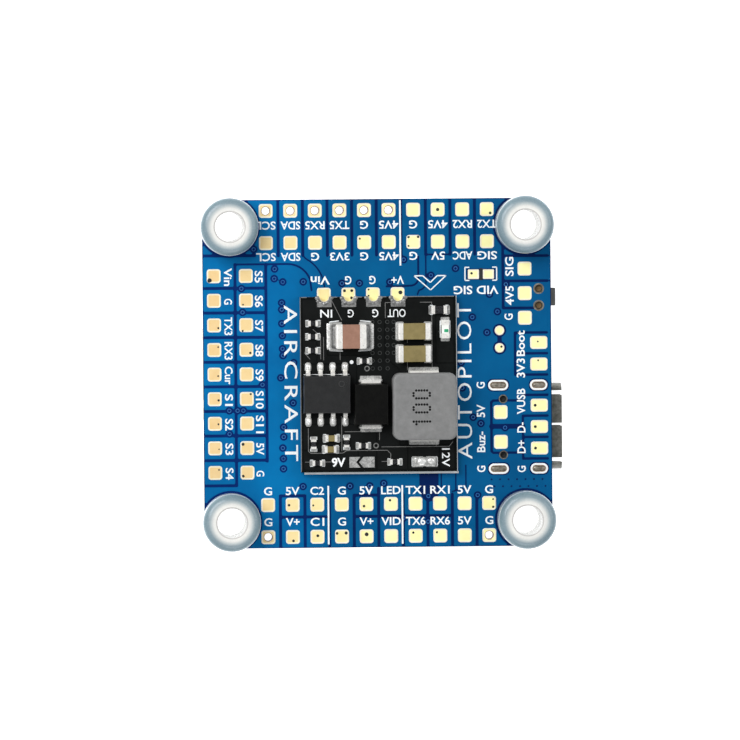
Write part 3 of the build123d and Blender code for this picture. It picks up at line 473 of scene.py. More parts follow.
def pour(name, keep, z, thickness, up, material, half_x, half_y, centre=(0, 0), step=0.1):
    """Raised copper under mask, where keep(x, y) is positive: a flat sheet with sloping sides.

    Squares wholly inside join into strips along their row. A square the edge runs through is cut
    where the distance crosses zero, so outlines come out straight and round whatever the step is.
    """
    count_x, count_y = int(round(2 * half_x / step)), int(round(2 * half_y / step))
    xs = np.linspace(centre[0] - half_x, centre[0] + half_x, count_x + 1)
    ys = np.linspace(centre[1] - half_y, centre[1] + half_y, count_y + 1)
    value = keep(*np.meshgrid(xs, ys))
    slope_y, slope_x = np.gradient(value, ys, xs)
    inside = value > 0
    sign = 1 if up else -1
    top = z + sign * thickness
    points, faces, cuts = [], [], {}
    corners, feet = {}, {}

    def corner(i, j):
        if (i, j) not in corners:
            corners[i, j] = len(points)
            points.append((xs[i], ys[j], top))
        return corners[i, j]

    def cut(here, after):
        key = (min(here, after), max(here, after))
        if key not in cuts:
            (i, j), (k, m) = key
            share = value[j, i] / (value[j, i] - value[m, k])
            x, y = xs[i] + share * (xs[k] - xs[i]), ys[j] + share * (ys[m] - ys[j])
            out_x, out_y = slope_x[j, i] + slope_x[m, k], slope_y[j, i] + slope_y[m, k]
            reach = 1.2 * thickness / max(math.hypot(out_x, out_y), 1e-6)
            cuts[key] = len(points)
            points.append((x, y, top))
            feet[cuts[key]] = len(points)
            points.append((x - reach * out_x, y - reach * out_y, z))
        return cuts[key]

    for j in range(count_y):
        held = inside[j, :-1].astype(int) + inside[j, 1:] + inside[j + 1, :-1] + inside[j + 1, 1:]
        i = 0
        while i < count_x:
            if held[i] == 4:
                first = i
                while i < count_x and held[i] == 4:
                    i += 1
                faces.append([corner(first, j), corner(i, j), corner(i, j + 1), corner(first, j + 1)])
                continue
            if held[i]:
                square = ((i, j), (i + 1, j), (i + 1, j + 1), (i, j + 1))
                outline = []
                for here, after in zip(square, square[1:] + square[:1]):
                    if inside[here[1], here[0]]:
                        outline.append(corner(*here))
                    if inside[here[1], here[0]] != inside[after[1], after[0]]:
                        outline.append(cut(here, after))
                faces.append(outline)
                for first, second in zip(outline, outline[1:] + outline[:1]):
                    if first in feet and second in feet:
                        faces.append([second, first, feet[first], feet[second]])
            i += 1
    if not up:
        faces = [face[::-1] for face in faces]
    data = bpy.data.meshes.new(name)
    data.from_pydata([(x * MM, y * MM, height * MM) for x, y, height in points], [], faces)
    data.update()
    return settle(bpy.data.objects.new(name, data), [material])


def path(*points):
    """Pairs of following points."""
    return list(zip(points[:-1], points[1:]))


def arc_points(x, y, radius, start, end, steps=6):
    """Points on an arc, by its centre, radius and two angles in degrees."""
    angles = [math.radians(start + (end - start) * step / steps) for step in range(steps + 1)]
    return [(x + radius * math.cos(angle), y + radius * math.sin(angle)) for angle in angles]


COPPER_THICKNESS = 0.03
INK_LIFT = 0.042
PITCH = 2.54
CHANNEL = 0.37
row_lines = [index * PITCH for index in range(-4, 5)]
side_lines = [(index + 0.5) * PITCH for index in range(-4, 4)]


def run(width, *points):
    """A channel of one width through several points: (start, end, width) for each stretch."""
    return [(start, end, width) for start, end in path(*points)]


def top_channels():
    """Every gap in the top copper: (start, end, width)."""
    gaps = []
    for x in row_lines:
        gaps += run(CHANNEL, (x, board_edge - 0.25), (x, 12.2))
        gaps += run(CHANNEL, (x, -11.9 if x == 0 else -12.6), (x, -board_edge + 0.25))
    for y in side_lines:
        gaps += run(CHANNEL, (-board_edge + 0.3, y), (-11.47, y))
    gaps += run(0.36, (-14.65, 11.35), (-14.65, -11.5)) + run(0.36, (-11.47, 11.35), (-11.47, -9.0))
    gaps += run(CHANNEL, (-board_edge + 0.3, -11.5), (-14.65, -11.5))
    gaps += run(CHANNEL, (-board_edge + 0.3, 12.25), (-12.6, 12.25))
    # Curved channels that lead to the regulator board's four pads.
    gaps += run(0.26, (-14.65, 11.35), (-9.2, 11.35), *arc_points(-9.2, 8.9, 2.45, 80, 20), (-6.75, 8.6))
    gaps += run(0.22, (-7.62, 12.2), *arc_points(-9.0, 8.7, 3.6, 62, 5), (-5.3, 8.0))
    gaps += run(0.26, (4.3, 12.0), (4.3, 9.9), *arc_points(3.5, 9.8, 0.8, 0, -80), (2.6, 8.95), (1.0, 8.95))
    gaps += run(0.22, (5.08, 12.2), (5.08, 10.8), (5.08, 9.6), *arc_points(4.2, 9.4, 0.9, 0, -80), (4.2, 8.1))
    # Along the front rows.
    for start, end, y in ((-10.16, -7.62, -12.6), (-10.16, -5.4, -14.8), (-2.54, 0, -12.6), (-2.54, 2.3, -14.8),
                          (2.7, 7.62, -14.8)):
        gaps += run(CHANNEL, (start, y), (end, y))
    for x, rear, front, width in ((4.3, -10.3, -12.2, 0.2), (5.3, -10.6, -12.4, 1.9), (6.5, -10.3, -11.9, 0.2),
                                  (8.0, -10.2, -12.2, 0.2), (9.05, -9.6, -12.0, 0.2)):
        gaps += run(width, (x, rear), (x, front))
    gaps += run(0.2, (7.62, -12.3), (9.05, -12.0))
    # Round the buzzer and USB pads.
    gaps += run(0.32, (11.74, -3.1), (11.74, -8.2)) + run(0.56, (11.74, -5.62), (15.0, -5.62))
    gaps += run(0.3, (11.9, -2.95), (15.0, -2.95)) + run(0.3, (11.9, -8.35), (15.0, -8.35))
    gaps += run(0.3, (15.0, -4.55), (15.0, -8.98))
    for y in (-2.4, -4.55, -6.75, -8.98):
        gaps += run(0.32, (15.0, y), (board_edge - 0.45, y))
    # Round the signal, supply and boot pads.
    gaps += run(0.34, (13.05, 13.2), (13.05, 6.6), (16.4, 6.6))
    for y in (12.0, 9.4):
        gaps += run(0.34, (13.05, y), (board_edge - 0.35, y))
    for y in (4.05, 1.9, -0.3):
        gaps += run(0.32, (14.25, y), (board_edge - 0.45, y))
    gaps += run(0.32, (14.25, 4.05), (14.25, -0.3))
    gaps += run(0.24, (5.08, 12.2), (7.62, 12.2)) + run(0.5, (12.65, 4.3), (12.65, 2.5))
    return gaps


TOP_VIAS = [(-10.55, 10.85), (-10.6, 9.85), (-9.72, 9.5), (-7.6, 9.5), (-3.6, 9.3), (-1.8, 9.3),
            (1.35, 9.4), (-9.85, 7.35), (-9.85, 6.65), (-9.85, 5.2), (-9.8, 3.95), (-9.8, 2.6),
            (-9.75, 1.9), (-8.65, 1.15), (-10.0, -0.4), (-8.75, -3.0), (-9.75, -5.5), (-9.75, -6.5),
            (-9.85, -7.65), (-9.8, -8.75), (-9.8, -9.8), (-14.0, 8.85), (-13.9, 6.4), (-15.35, -3.75),
            (-14.5, -3.75), (-13.9, -3.75), (-15.35, -6.15), (-11.9, -1.1), (-7.8, -11.65), (-2.95, -11.65),
            (-0.9, -11.65), (0.55, -11.4), (5.15, -12.75), (10.25, -12.7), (2.55, -15.0), (5.1, -15.4),
            (8.15, 10.75), (5.6, 10.05), (11.65, 8.05), (12.45, 6.25), (9.85, 5.7), (11.35, 4.1),
            (13.35, 9.05), (9.85, -4.65), (10.65, -5.3), (13.15, -5.75), (2.8, 11.7), (-12.7, 12.9),
            (8.75, -1.6), (8.65, 1.0)]


GROMMET_CLEARANCE = 3.25
HOLE_CLEARANCE = 0.16


def clear_of_holes(value, grid_x, grid_y):
    """Holds copper away from the grommets and from the board's bare holes."""
    circles = [(side_x * hole_half_pitch, side_y * hole_half_pitch, GROMMET_CLEARANCE, 0)
               for side_x in (-1, 1) for side_y in (-1, 1)]
    circles += [(x, y, radius, HOLE_CLEARANCE) for x, y, radius in board_holes()]
    for x, y, radius, margin in circles:
        value = np.minimum(value, np.hypot(grid_x - x, grid_y - y) - radius - margin)
    return value


def keep_top_copper(grid_x, grid_y):
    """Positive where the top side's copper is."""
    value = -box_distance(grid_x, grid_y, 0, 0, board_edge - 0.1, board_edge - 0.1, 2.5)
    for start, end, width in top_channels():
        value = np.minimum(value, capsule_distance(grid_x, grid_y, start, end, width))
    for x, y in TOP_VIAS:
        value = np.minimum(value, np.hypot(grid_x - x, grid_y - y) - 0.43)
    for x, y, size_x, size_y in flat("main_board_top_pads"):
        if size_x > 1.6 and size_y < 1.2:
            value = np.minimum(value, box_distance(grid_x, grid_y, x, y, size_x / 2 + 0.14,
                                                   size_y / 2 + 0.14, 0.6))
        if abs(size_x - size_y) < 0.05 and size_x < 1.1:
            value = np.minimum(value, np.hypot(grid_x - x, grid_y - y) - size_x / 2 - 0.22)
        if size_x < 1.2 and size_y < 1.05 and y > 9:
            value = np.minimum(value, box_distance(grid_x, grid_y, x, y, size_x / 2 + 0.16,
                                                   size_y / 2 + 0.1, 0.1))
    for x, y, size_x, size_y in flat("plated_hole_barrels"):
        value = np.minimum(value, box_distance(grid_x, grid_y, x, y, size_x / 2 + 0.1, size_y / 2 + 0.1, 0.4))
    return clear_of_holes(value, grid_x, grid_y)


def board_holes():
    """The unplated holes of the main board that show something: USB pegs, then button bosses."""
    tongue_low, tongue_high = box_mm("usb_tongue")
    usb_y = (tongue_low.y + tongue_high.y) / 2
    peg_x = box_mm("usb_shell")[1].x - 6.18
    cover_low, cover_high = box_mm("button_cover")
    boss_x, boss_y = cover_high.x - 1.12, (cover_low.y + cover_high.y) / 2
    return [(peg_x, usb_y - 2.89, 0.34), (peg_x, usb_y + 2.89, 0.34),
            (boss_x, boss_y - 0.87, 0.38), (boss_x, boss_y + 0.87, 0.38)]


def main_board():
    """The blue board: mask, copper relief, vias and the rings round its bare holes."""
    dress_board("main_board", MASK_BARE, LAMINATE)
    pour("top_copper", keep_top_copper, board_top, COPPER_THICKNESS, True, MASK_COPPER,
         board_edge, board_edge)
    vias = Shape()
    for x, y in TOP_VIAS:
        ring(vias, x, y, board_top, 0.22, 0.13, 0.03)
    stitches = [(11.7 + 0.88 * i + 0.3 * (j % 2), -11.1 - 0.72 * j) for j in range(2) for i in range(7)]
    for x, y in stitches:
        disc(vias, x, y, board_top + 0.02, 0.1, 0.02, 1)
    vias.make("top_vias", [VIA_RING, MASK_BARE], "blue_laminate")
    rings = Shape()
    for index, (x, y, radius) in enumerate(board_holes()):
        ring(rings, x, y, board_top, radius + (0.12 if index < 2 else 0.2), radius + 0.01, 0.035)
    rings.make("hole_rings", [FLUX], "tinned_leads")
    slots = Shape()
    for x, y, size_x, size_y in flat("plated_hole_barrels"):
        if size_x > 1.2:
            mound(slots, x, y, board_top - 0.25, size_x / 2 + 0.02, size_y / 2 + 0.02, 0.29)
    slots.make("leg_solder", [FLUX], "solder", smooth=True)


# ------------------------------------------------------------------ gold pads
def pillow_pad(shape, x, y, z, size_x, size_y, corner, up=1, hole=None):
    """A pad with a rounded rim in paler gold, a painted highlight, and a slightly lower middle, pierced if hole
    gives half sizes.
    """
    def at(inset, height):
        return round_ring(x, y, z + up * height, size_x / 2 - inset, size_y / 2 - inset,
                          max(corner - inset, 0.04))

    rings = [at(0, 0), at(0.012, 0.035), at(0.05, 0.055), at(0.12, 0.056), at(0.165, 0.046)]
    # kind 1, on the rim, is the paler gold of the painted highlight
    kinds = [1, 1, 1, 1, 0]
    if hole:
        half_x, half_y = hole
        rings.append(round_ring(x, y, z + up * 0.05, half_x + 0.05, half_y + 0.05,
                                min(half_x, half_y) + 0.05))
        rings.append(round_ring(x, y, z + up * 0.03, half_x, half_y, min(half_x, half_y)))
        # on round holes the lip sloping into the hole takes the brown plating, painted shade
        rings.append(round_ring(x, y, z - up * 0.5, half_x - 0.07, half_y - 0.07, min(half_x, half_y) - 0.07))
        # the slot pads, lip included, are white: a painted highlight on their metal
        kinds = [3, 3, 3, 3, 3, 3, 3, 2] if size_x > 1.6 else [1, 1, 1, 1, 0, 1, 2, 2]
    loops = [shape.loop(points if up > 0 else list(reversed(points))) for points in rings]
    for index in range(len(loops) - 1):
        shape.bridge(loops[index], loops[index + 1], kinds[index])
    if not hole:
        shape.cap(loops[-1], 0)


def pads_of(node_name, z, up):
    """Pillowed copies of a node's pads, pierced where a plated barrel stands."""
    barrels = {(round(float(x), 1), round(float(y), 1)): (size_x / 2 - 0.03, size_y / 2 - 0.03)
               for x, y, size_x, size_y in flat("plated_hole_barrels")}
    shape = Shape()
    for x, y, size_x, size_y in flat(node_name):
        hole = barrels.get((round(float(x), 1), round(float(y), 1)))
        corner = 0.3 if min(size_x, size_y) > 1.3 else 0.1
        if hole and size_x > 1.6:
            corner = size_y / 2
        if abs(size_x - size_y) < 0.02 and size_x < 1.1:
            corner = size_x / 2
        if min(size_x, size_y) < 0.45:
            corner = 0.04
        pillow_pad(shape, x, y, z, size_x, size_y, corner, up, hole)
    return shape


VIA_DOTS = [(-16.87, 10.16, -0.42, -0.45, 0.24), (-16.87, 5.08, 0.45, -0.28, 0.11),
            (-16.87, 2.54, 0.42, 0.3, 0.09), (-16.87, 0, 0.4, -0.15, 0.09),
            (-16.87, -2.54, 0.42, -0.12, 0.12), (-16.87, -5.08, 0.38, -0.05, 0.1),
            (-16.87, -7.62, 0.42, -0.1, 0.07), (-16.87, -10.16, 0.4, 0.32, 0.09),
            (-13.55, 7.62, -0.3, -0.42, 0.09), (-13.55, 5.08, -0.35, -0.6, 0.11),
            (-13.55, 2.54, 0.42, -0.33, 0.12), (-13.55, -2.54, 0.42, 0.5, 0.11),
            (-13.55, -7.62, -0.42, 0.4, 0.16), (-13.55, -10.16, -0.42, -0.35, 0.14),
            (-1.27, 13.53, -0.45, 0.38, 0.1), (3.81, 13.53, -0.5, 0.5, 0.13),
            (3.81, 13.53, 0.5, 0.52, 0.14), (3.81, 13.53, -0.5, -0.42, 0.1), (6.35, 16.85, 0.0, 0.0, 0.17),
            (11.43, 16.85, 0.35, -0.4, 0.14), (-8.89, -13.53, -0.38, -0.03, 0.13),
            (-6.35, -13.53, -0.42, -0.08, 0.1), (-8.89, -16.85, 0.05, -0.4, 0.14),
            (-6.35, -16.85, 0.03, 0.1, 0.15), (-3.81, -16.85, -0.52, 0.33, 0.14),
            (-3.81, -16.85, 0.42, 0.36, 0.16), (-1.27, -16.85, 0.0, 0.2, 0.2),
            (-1.27, -13.53, -0.25, -0.2, 0.13), (1.27, -13.53, -0.1, 0.38, 0.13),
            (3.81, -16.85, -0.25, 0.33, 0.12), (6.35, -16.85, -0.35, 0.35, 0.11),
            (11.43, -13.53, 0.42, -0.4, 0.12), (11.43, -13.53, 0.42, 0.4, 0.09),
            (16.7, 3.02, -0.1, 0.1, 0.09), (16.7, 0.79, -0.08, 0.38, 0.09), (16.7, -3.47, -0.42, 0, 0.15),
            (16.7, -5.68, -0.42, 0, 0.15), (16.7, -7.9, -0.42, 0, 0.15), (12.65, 2.5, 0.18, 0.12, 0.12),
            (10.0, 10.13, -0.2, 0.1, 0.13), (2.13, 8.3, 0.3, 0.02, 0.2), (-2.95, 8.3, -0.4, 0.25, 0.15),
            (-2.95, 8.3, 0.35, 0.25, 0.15), (-2.95, 8.3, 0.32, -0.5, 0.15), (-0.41, 8.3, -0.45, 0.35, 0.1),
            (-0.41, 8.3, -0.45, -0.3, 0.1)]


def gold_pads():
    """Both faces' pads, dark discs for the vias in them, and the plated barrels."""
    # the fourth finish, the white ink, is a painted highlight on the slot pads
    top = pads_of("main_board_top_pads", board_top, 1)
    top.make("gold_pads_top", [GOLD, GOLD_HIGHLIGHT, SHADED_BARREL, WHITE_INK_AND_RIM_HIGHLIGHT], "gold_pads",
             stands_for=("main_board_top_pads",))
    under = pads_of("main_board_bottom_pads", board_bottom, -1)
    under.make("gold_pads_underneath", [GOLD, GOLD_HIGHLIGHT, SHADED_BARREL, WHITE_INK_AND_RIM_HIGHLIGHT], "gold_pads",
               stands_for=("main_board_bottom_pads",))
    dots = Shape()
    for x, y, dx, dy, radius in VIA_DOTS:
        disc(dots, x + dx, y + dy, board_top + 0.04, radius, 0.02)
    dots.make("pad_vias", [VIA_DARK], "gold_pads")
    # brown plating: painted shade on the barrels
    dress("plated_hole_barrels", SHADED_BARREL)


# ------------------------------------------------------------------ printed ink
FONT_CAPITAL = 0.69
INK_THICKNESS = 0.012


def letters(shape_store, text, x, y, z, height, turn=0.0, bold=0.0, width=None, spacing=1.0, up=1, kind=0):
    """Adds the flat outline of a word, centred on x, y, with capitals of the given height."""
    curve = bpy.data.curves.new("label", "FONT")
    curve.body = text
    curve.size = 1.0
    curve.align_x = "CENTER"
    curve.resolution_u = 3
    curve.space_character = spacing
    curve.offset = bold
    holder = bpy.data.objects.new("label", curve)
    bpy.context.scene.collection.objects.link(holder)
    mesh = bpy.data.meshes.new_from_object(holder)
    bpy.data.objects.remove(holder)
    bpy.data.curves.remove(curve)
    points = [vertex.co.copy() for vertex in mesh.vertices]
    low_x, high_x = min(p.x for p in points), max(p.x for p in points)
    scale_y = height / FONT_CAPITAL
    scale_x = width / (high_x - low_x) if width else scale_y
    middle_x = (low_x + high_x) / 2
    angle = math.radians(turn)
    first = len(shape_store.points)
    for point in points:
        local_x = (point.x - middle_x) * scale_x * up
        local_y = (point.y - FONT_CAPITAL / 2) * scale_y
        shape_store.points.append((x + local_x * math.cos(angle) - local_y * math.sin(angle),
                                   y + local_x * math.sin(angle) + local_y * math.cos(angle), z))
    for face in mesh.polygons:
        corners = [first + number for number in face.vertices]
        facing_up = face.normal.z * up > 0
        if facing_up != (up > 0):
            corners.reverse()
        shape_store.faces.append(tuple(corners))
        shape_store.kinds.append(kind)
    bpy.data.meshes.remove(mesh)


def ink_line(shape, start, end, width, z, kind=0, up=True):
    """A flat printed line with square ends, open on the side that lies on the board."""
    (ax, ay), (bx, by) = start, end
    length = math.hypot(bx - ax, by - ay)
    nx, ny = -(by - ay) / length * width / 2, (bx - ax) / length * width / 2
    corners = [(ax - nx, ay - ny), (bx - nx, by - ny), (bx + nx, by + ny), (ax + nx, ay + ny)]
    low = shape.loop([(x, y, z) for x, y in corners])
    high = shape.loop([(x, y, z + INK_THICKNESS) for x, y in corners])
    shape.bridge(low, high, kind)
    shape.cap(high if up else low, kind, flip=not up)


def ink_path(shape, points, width, z, kind=0):
    """A printed line through several points."""
    for start, end in path(*points):
        ink_line(shape, start, end, width, z, kind)


COLUMNS = [(index - 4.5) * PITCH for index in range(10)]
SIDE_ROWS = [(4 - index) * PITCH for index in range(9)]
REAR_OUTER = ("SCL", "SDA", "RX5", "TX5", "G", "4V5", "G", "4V5", "RX2", "TX2")
REAR_INNER = ("SCL", "SDA", "G", "3V3", "G", "4V5", "G", "5V", "ADC", "SIG")
FRONT_INNER = ("G", "5V", "C2", "G", "5V", "LED", "TX1", "RX1", "5V", "G")
FRONT_OUTER = ("G", "V+", "C1", "G", "V+", "VID", "TX6", "RX6", "5V", "G")
SIDE_OUTER = ("Vin", "G", "TX3", "RX3", "Cur", "S1", "S2", "S3", "S4")
SIDE_INNER = ("S5", "S6", "S7", "S8", "S9", "S10", "S11", "5V", "G")


def board_ink():
    """Every printed label and line on the main board's top."""
    ink = Shape()
    z = board_top + INK_LIFT
    bold = 0.018
    for words, y, turn in ((REAR_OUTER, 15.33, 180), (REAR_INNER, 12.08, 180), (FRONT_INNER, -12.1, 0),
                           (FRONT_OUTER, -15.3, 0)):
        for word, x in zip(words, COLUMNS):
            letters(ink, word, x, y, z, 0.80, turn, bold, 0.25 + 0.59 * len(word))
    for words, x in ((SIDE_OUTER, -15.38), (SIDE_INNER, -12.2)):
        for word, y in zip(words, SIDE_ROWS):
            letters(ink, word, x, y - 0.1, z, 0.78, -90, bold, 0.62 * len(word) - 0.02)
    for word, x, y, turn in (("SIG", 13.72, 10.9, 90), ("4V5", 13.72, 7.9, 90), ("G", 13.6, 5.7, 90),
                             ("Boot", 14.82, 2.95, 90), ("3V3", 14.82, 0.4, 90), ("VUSB", 14.82, -3.05, 90),
                             ("D-", 14.82, -5.75, 90), ("D+", 14.82, -7.75, 90), ("G", 14.82, -10.05, 90),
                             ("G", 10.65, -1.35, 90), ("5V", 10.65, -4.0, 90), ("Buz-", 10.65, -7.2, 90),
                             ("G", 10.65, -10.0, 90), ("Vin", -5.85, 9.62, 180), ("G", -2.95, 9.62, 180),
                             ("G", -0.45, 9.62, 180), ("V+", 2.15, 9.62, 180),
                             ("VID SIG", 10.25, 8.5, 180)):
        letters(ink, word, x, y, z, 0.82, turn, bold, 0.53 * len(word) if "-" in word else 0.66 * len(word))
    letters(ink, "AIRCRAFT", -8.95, -0.95, z, 1.34, -90, 0.004, 16.1, 1.3)
    letters(ink, "AUTOPILOT", 8.99, -0.9, z, 1.46, 90, -0.002, 16.1, 1.2)
    for x in (-5.2, 2.45):
        ink_line(ink, (x, -11.6), (x, -board_edge + 0.35), 0.17, z)
    ink_line(ink, (2.45, board_edge - 0.15), (2.45, 11.1), 0.17, z)
    right, front = regulator_high.x, regulator_low.y
    ink_line(ink, (right + 0.06, front - 0.1), (right + 0.06, regulator_high.y), 0.12, z)
    ink_line(ink, (regulator_low.x + 0.35, front - 0.13), (right + 0.2, front - 0.13), 0.22, z)
    chevron = [(3.85, 10.02), (4.75, 10.02), (5.52, 9.32), (6.25, 10.02), (7.15, 10.02), (5.55, 8.55),
               (3.85, 10.02)]
    ink_path(ink, chevron, 0.12, z)
    for side, x in ((-1, 9.12), (1, 12.4)):
        ink_line(ink, (x, 9.5), (x, 10.85), 0.12, z)
        for y in (9.5, 10.85):
            ink_line(ink, (x, y), (x - side * 0.45, y), 0.12, z)
    ink.make("printed_labels", [WHITE_INK_AND_RIM_HIGHLIGHT], "blue_laminate")
    gap = Shape()
    gap.stack([round_ring(10.78, 10.13, board_top + 0.03, 0.16, 0.62, 0.05),
               round_ring(10.78, 10.13, board_top + 0.05, 0.15, 0.61, 0.05)])
    gap.make("jumper_gap", [VIA_DARK], "blue_laminate")


# ------------------------------------------------------------------ solder
def mound(shape, x, y, z, half_x, half_y, height, corner=None, kind=0, steps=4):
    """A rounded heap of solder."""
    corner = min(half_x, half_y) if corner is None else corner
    rings = []
    for step in range(steps + 1):
        angle = math.radians(88 * step / steps)
        inset = (1 - math.cos(angle)) * min(half_x, half_y)
        rings.append(round_ring(x, y, z + height * math.sin(angle), half_x - inset, half_y - inset, corner))
    shape.stack(rings, [kind] * len(rings), close_low=False)


def fillet(shape, x, y, z, half_x, half_y, height, reach, kind=0, steps=4):
    """A hollow-cheeked skirt of solder round a foot."""
    rings = []
    for step in range(steps + 1):
        angle = math.radians(90 * step / steps)
        grow = reach * (1 - math.sin(angle)) - 0.01
        rings.append(round_ring(x, y, z + height * (1 - math.cos(angle)), half_x + grow, half_y + grow,
                                0.04 + max(grow, 0)))
    shape.stack(rings, [kind] * len(rings), close_low=False)


def solder_skirts(node_names, level, reach=0.13, share=0.6, side=1):
    """Skirts round every separate end or foot of the given nodes."""
    shape = Shape()
    for name in node_names:
        for (x, y, _), (size_x, size_y, size_z) in islands(name):
            fillet(shape, x, y, level, size_x / 2, size_y / 2, side * share * size_z, reach)
    if side < 0:
        shape.faces = [face[::-1] for face in shape.faces]
    return shape


# ------------------------------------------------------------------ the regulator board
REGULATOR_TRACES = (((-4.7, 7.5), (-3.7, 5.5)), ((0.8, 5.7), (0.8, 7.3), (2.3, 7.3)),
                    ((4.4, 7.3), (5.6, 7.3), (5.6, 0.3)), ((-5.6, 3.8), (-5.6, 1.4)),
                    ((-3.9, 2.2), (-3.9, 1.4)), ((-7.25, -5.6), (-7.25, -8.0), (-7.0, -8.2), (-3.7, -8.2),
                                                 (-3.3, -7.95), (0.9, -7.95), (1.25, -8.3), (1.25, -8.9),
                                                 (2.2, -9.0)), ((-3.8, -4.4), (-3.8, -8.0)),
                    ((-3.5, -6.0), (0.1, -6.0), (0.1, -6.9)), ((0.3, -7.6), (7.3, -7.6), (7.7, -7.1)),
                    ((5.95, -7.6), (5.95, -7.1)), ((3.05, 3.6), (3.05, 3.1)), ((3.05, 1.3), (3.05, 0.3)),
                    ((-7.6, -9.1), (-7.0, -9.1)), ((-5.7, -9.1), (-4.9, -9.1)), ((1.0, -9.1), (0.3, -9.1)),
                    ((-6.7, 4.6), (-5.9, 3.9), (-5.9, 1.5)), ((-7.6, 2.2), (-7.0, 1.5)))


REGULATOR_GAPS = (((-7.9, 1.0), (-2.2, 1.0)), ((-2.2, 1.0), (-2.2, -5.2)), ((-2.2, -5.2), (-7.9, -5.2)),
                  ((0.75, 7.8), (0.75, 1.6)), ((0.75, 1.6), (2.2, 0.4)), ((2.2, 0.4), (2.2, -7.4)),
                  ((-5.2, 5.8), (-5.2, 1.9)), ((-5.2, 1.9), (-0.6, 1.9)), ((2.2, -7.4), (7.9, -7.4)),
                  ((-0.2, -5.8), (-0.2, -10.0)), ((6.0, 5.9), (6.0, 1.0)), ((6.0, 1.0), (7.9, 1.0)),
                  ((-6.3, 5.6), (-6.3, 1.2)), ((-4.2, -5.2), (-4.2, -7.9)), ((-7.9, -7.9), (-0.4, -7.9)),
                  ((-2.1, -7.9), (-2.1, -10)), ((3.0, -7.5), (3.0, -10)), ((6.3, -7.5), (6.3, -10)))
HALF_HOLES = [-5.49 + 2.54 * index for index in range(4)]


def regulator_copper():
    """Raised copper under the black mask, split by its gaps and held off the half-holes."""
    x, y = regulator_centre.x, regulator_centre.y
    half_x = (regulator_high.x - regulator_low.x) / 2
    half_y = (regulator_high.y - regulator_low.y) / 2

    def keep(grid_x, grid_y):
        value = -box_distance(grid_x, grid_y, x, y, half_x - 0.3, half_y - 0.3, 0.2)
        for start, end in REGULATOR_GAPS:
            value = np.minimum(value, capsule_distance(grid_x, grid_y, start, end, 0.16))
        for hole_x in HALF_HOLES:
            value = np.minimum(value, np.hypot(grid_x - hole_x, grid_y - y - half_y) - 0.75)
        return value

    pour("regulator_copper", keep, regulator_top, 0.02, True, MASK_BLACK_COPPER, half_x,
         half_y, (x, y))


def regulator_ink():
    """The black board's printed words, outlines and part frames."""
    marks = Shape()
    top = regulator_top + 0.022
    words = (("IN", 0), ("G", 0), ("G", 0), ("OUT", -0.35))
    for index, (word, shift) in enumerate(words):
        letters(marks, word, -5.3 + 2.54 * index + shift, 6.2, top + 0.01, 0.8, 180, 0.01, 0.62 * len(word))
    letters(marks, "9V", -4.15, -9.15, top + 0.01, 0.86, 0, 0.03, 1.4)
    letters(marks, "12V", 6.95, -8.75, top + 0.01, 0.78, -90, 0.01, 1.9)
    lamp_low, lamp_high = box_mm("regulator_lamp_body")
    left, right, near, far = lamp_low.x - 0.12, lamp_high.x + 0.12, lamp_low.y - 0.42, lamp_high.y + 0.42
    frames = ([(-4.0, 5.45), (-4.95, 5.35), (-4.95, 2.4), (-3.6, 2.33)],
              [(-1.8, 5.45), (-0.72, 5.35), (-0.72, 2.4), (-2.0, 2.33)],
              [(left, near), (right, near), (right, far), (left, far), (left, near)])
    for frame_points in frames:
        ink_path(marks, frame_points, 0.09, top)
    chip_low, chip_high = box_mm("regulator_chip_body")
    ink_line(marks, (chip_low.x + 0.1, chip_high.y + 0.1), (chip_high.x - 0.1, chip_high.y + 0.1), 0.07, top)
    for x, y, half in ((-1.73, -9.15, 0.95), (4.75, -9.16, 1.3)):
        for side in (-1, 1):
            ink_line(marks, (x + side * half, y - 0.45), (x + side * half, y + 0.45), 0.08, top)
    for name in ("regulator_resistor_bodies", "regulator_small_capacitor_bodies"):
        for x, y, size_x, size_y in flat(name):
            part_brackets(marks, x, y, size_x, size_y, top)
    marks.make("regulator_ink", [WHITE_INK_AND_RIM_HIGHLIGHT], "black_laminate")


def part_brackets(marks, x, y, size_x, size_y, top):
    """A printed bracket round each end of a small part."""
    long_x = size_x > size_y
    reach, half = (size_x / 2 + 0.5, size_y / 2 + 0.1) if long_x else (size_y / 2 + 0.5, size_x / 2 + 0.1)
    for side in (-1, 1):
        corners = [(side * (reach - 0.3), -half), (side * reach, -half), (side * reach, half),
                   (side * (reach - 0.3), half)]
        ink_path(marks, [(x + a, y + b) if long_x else (x + b, y + a) for a, b in corners], 0.06, top)


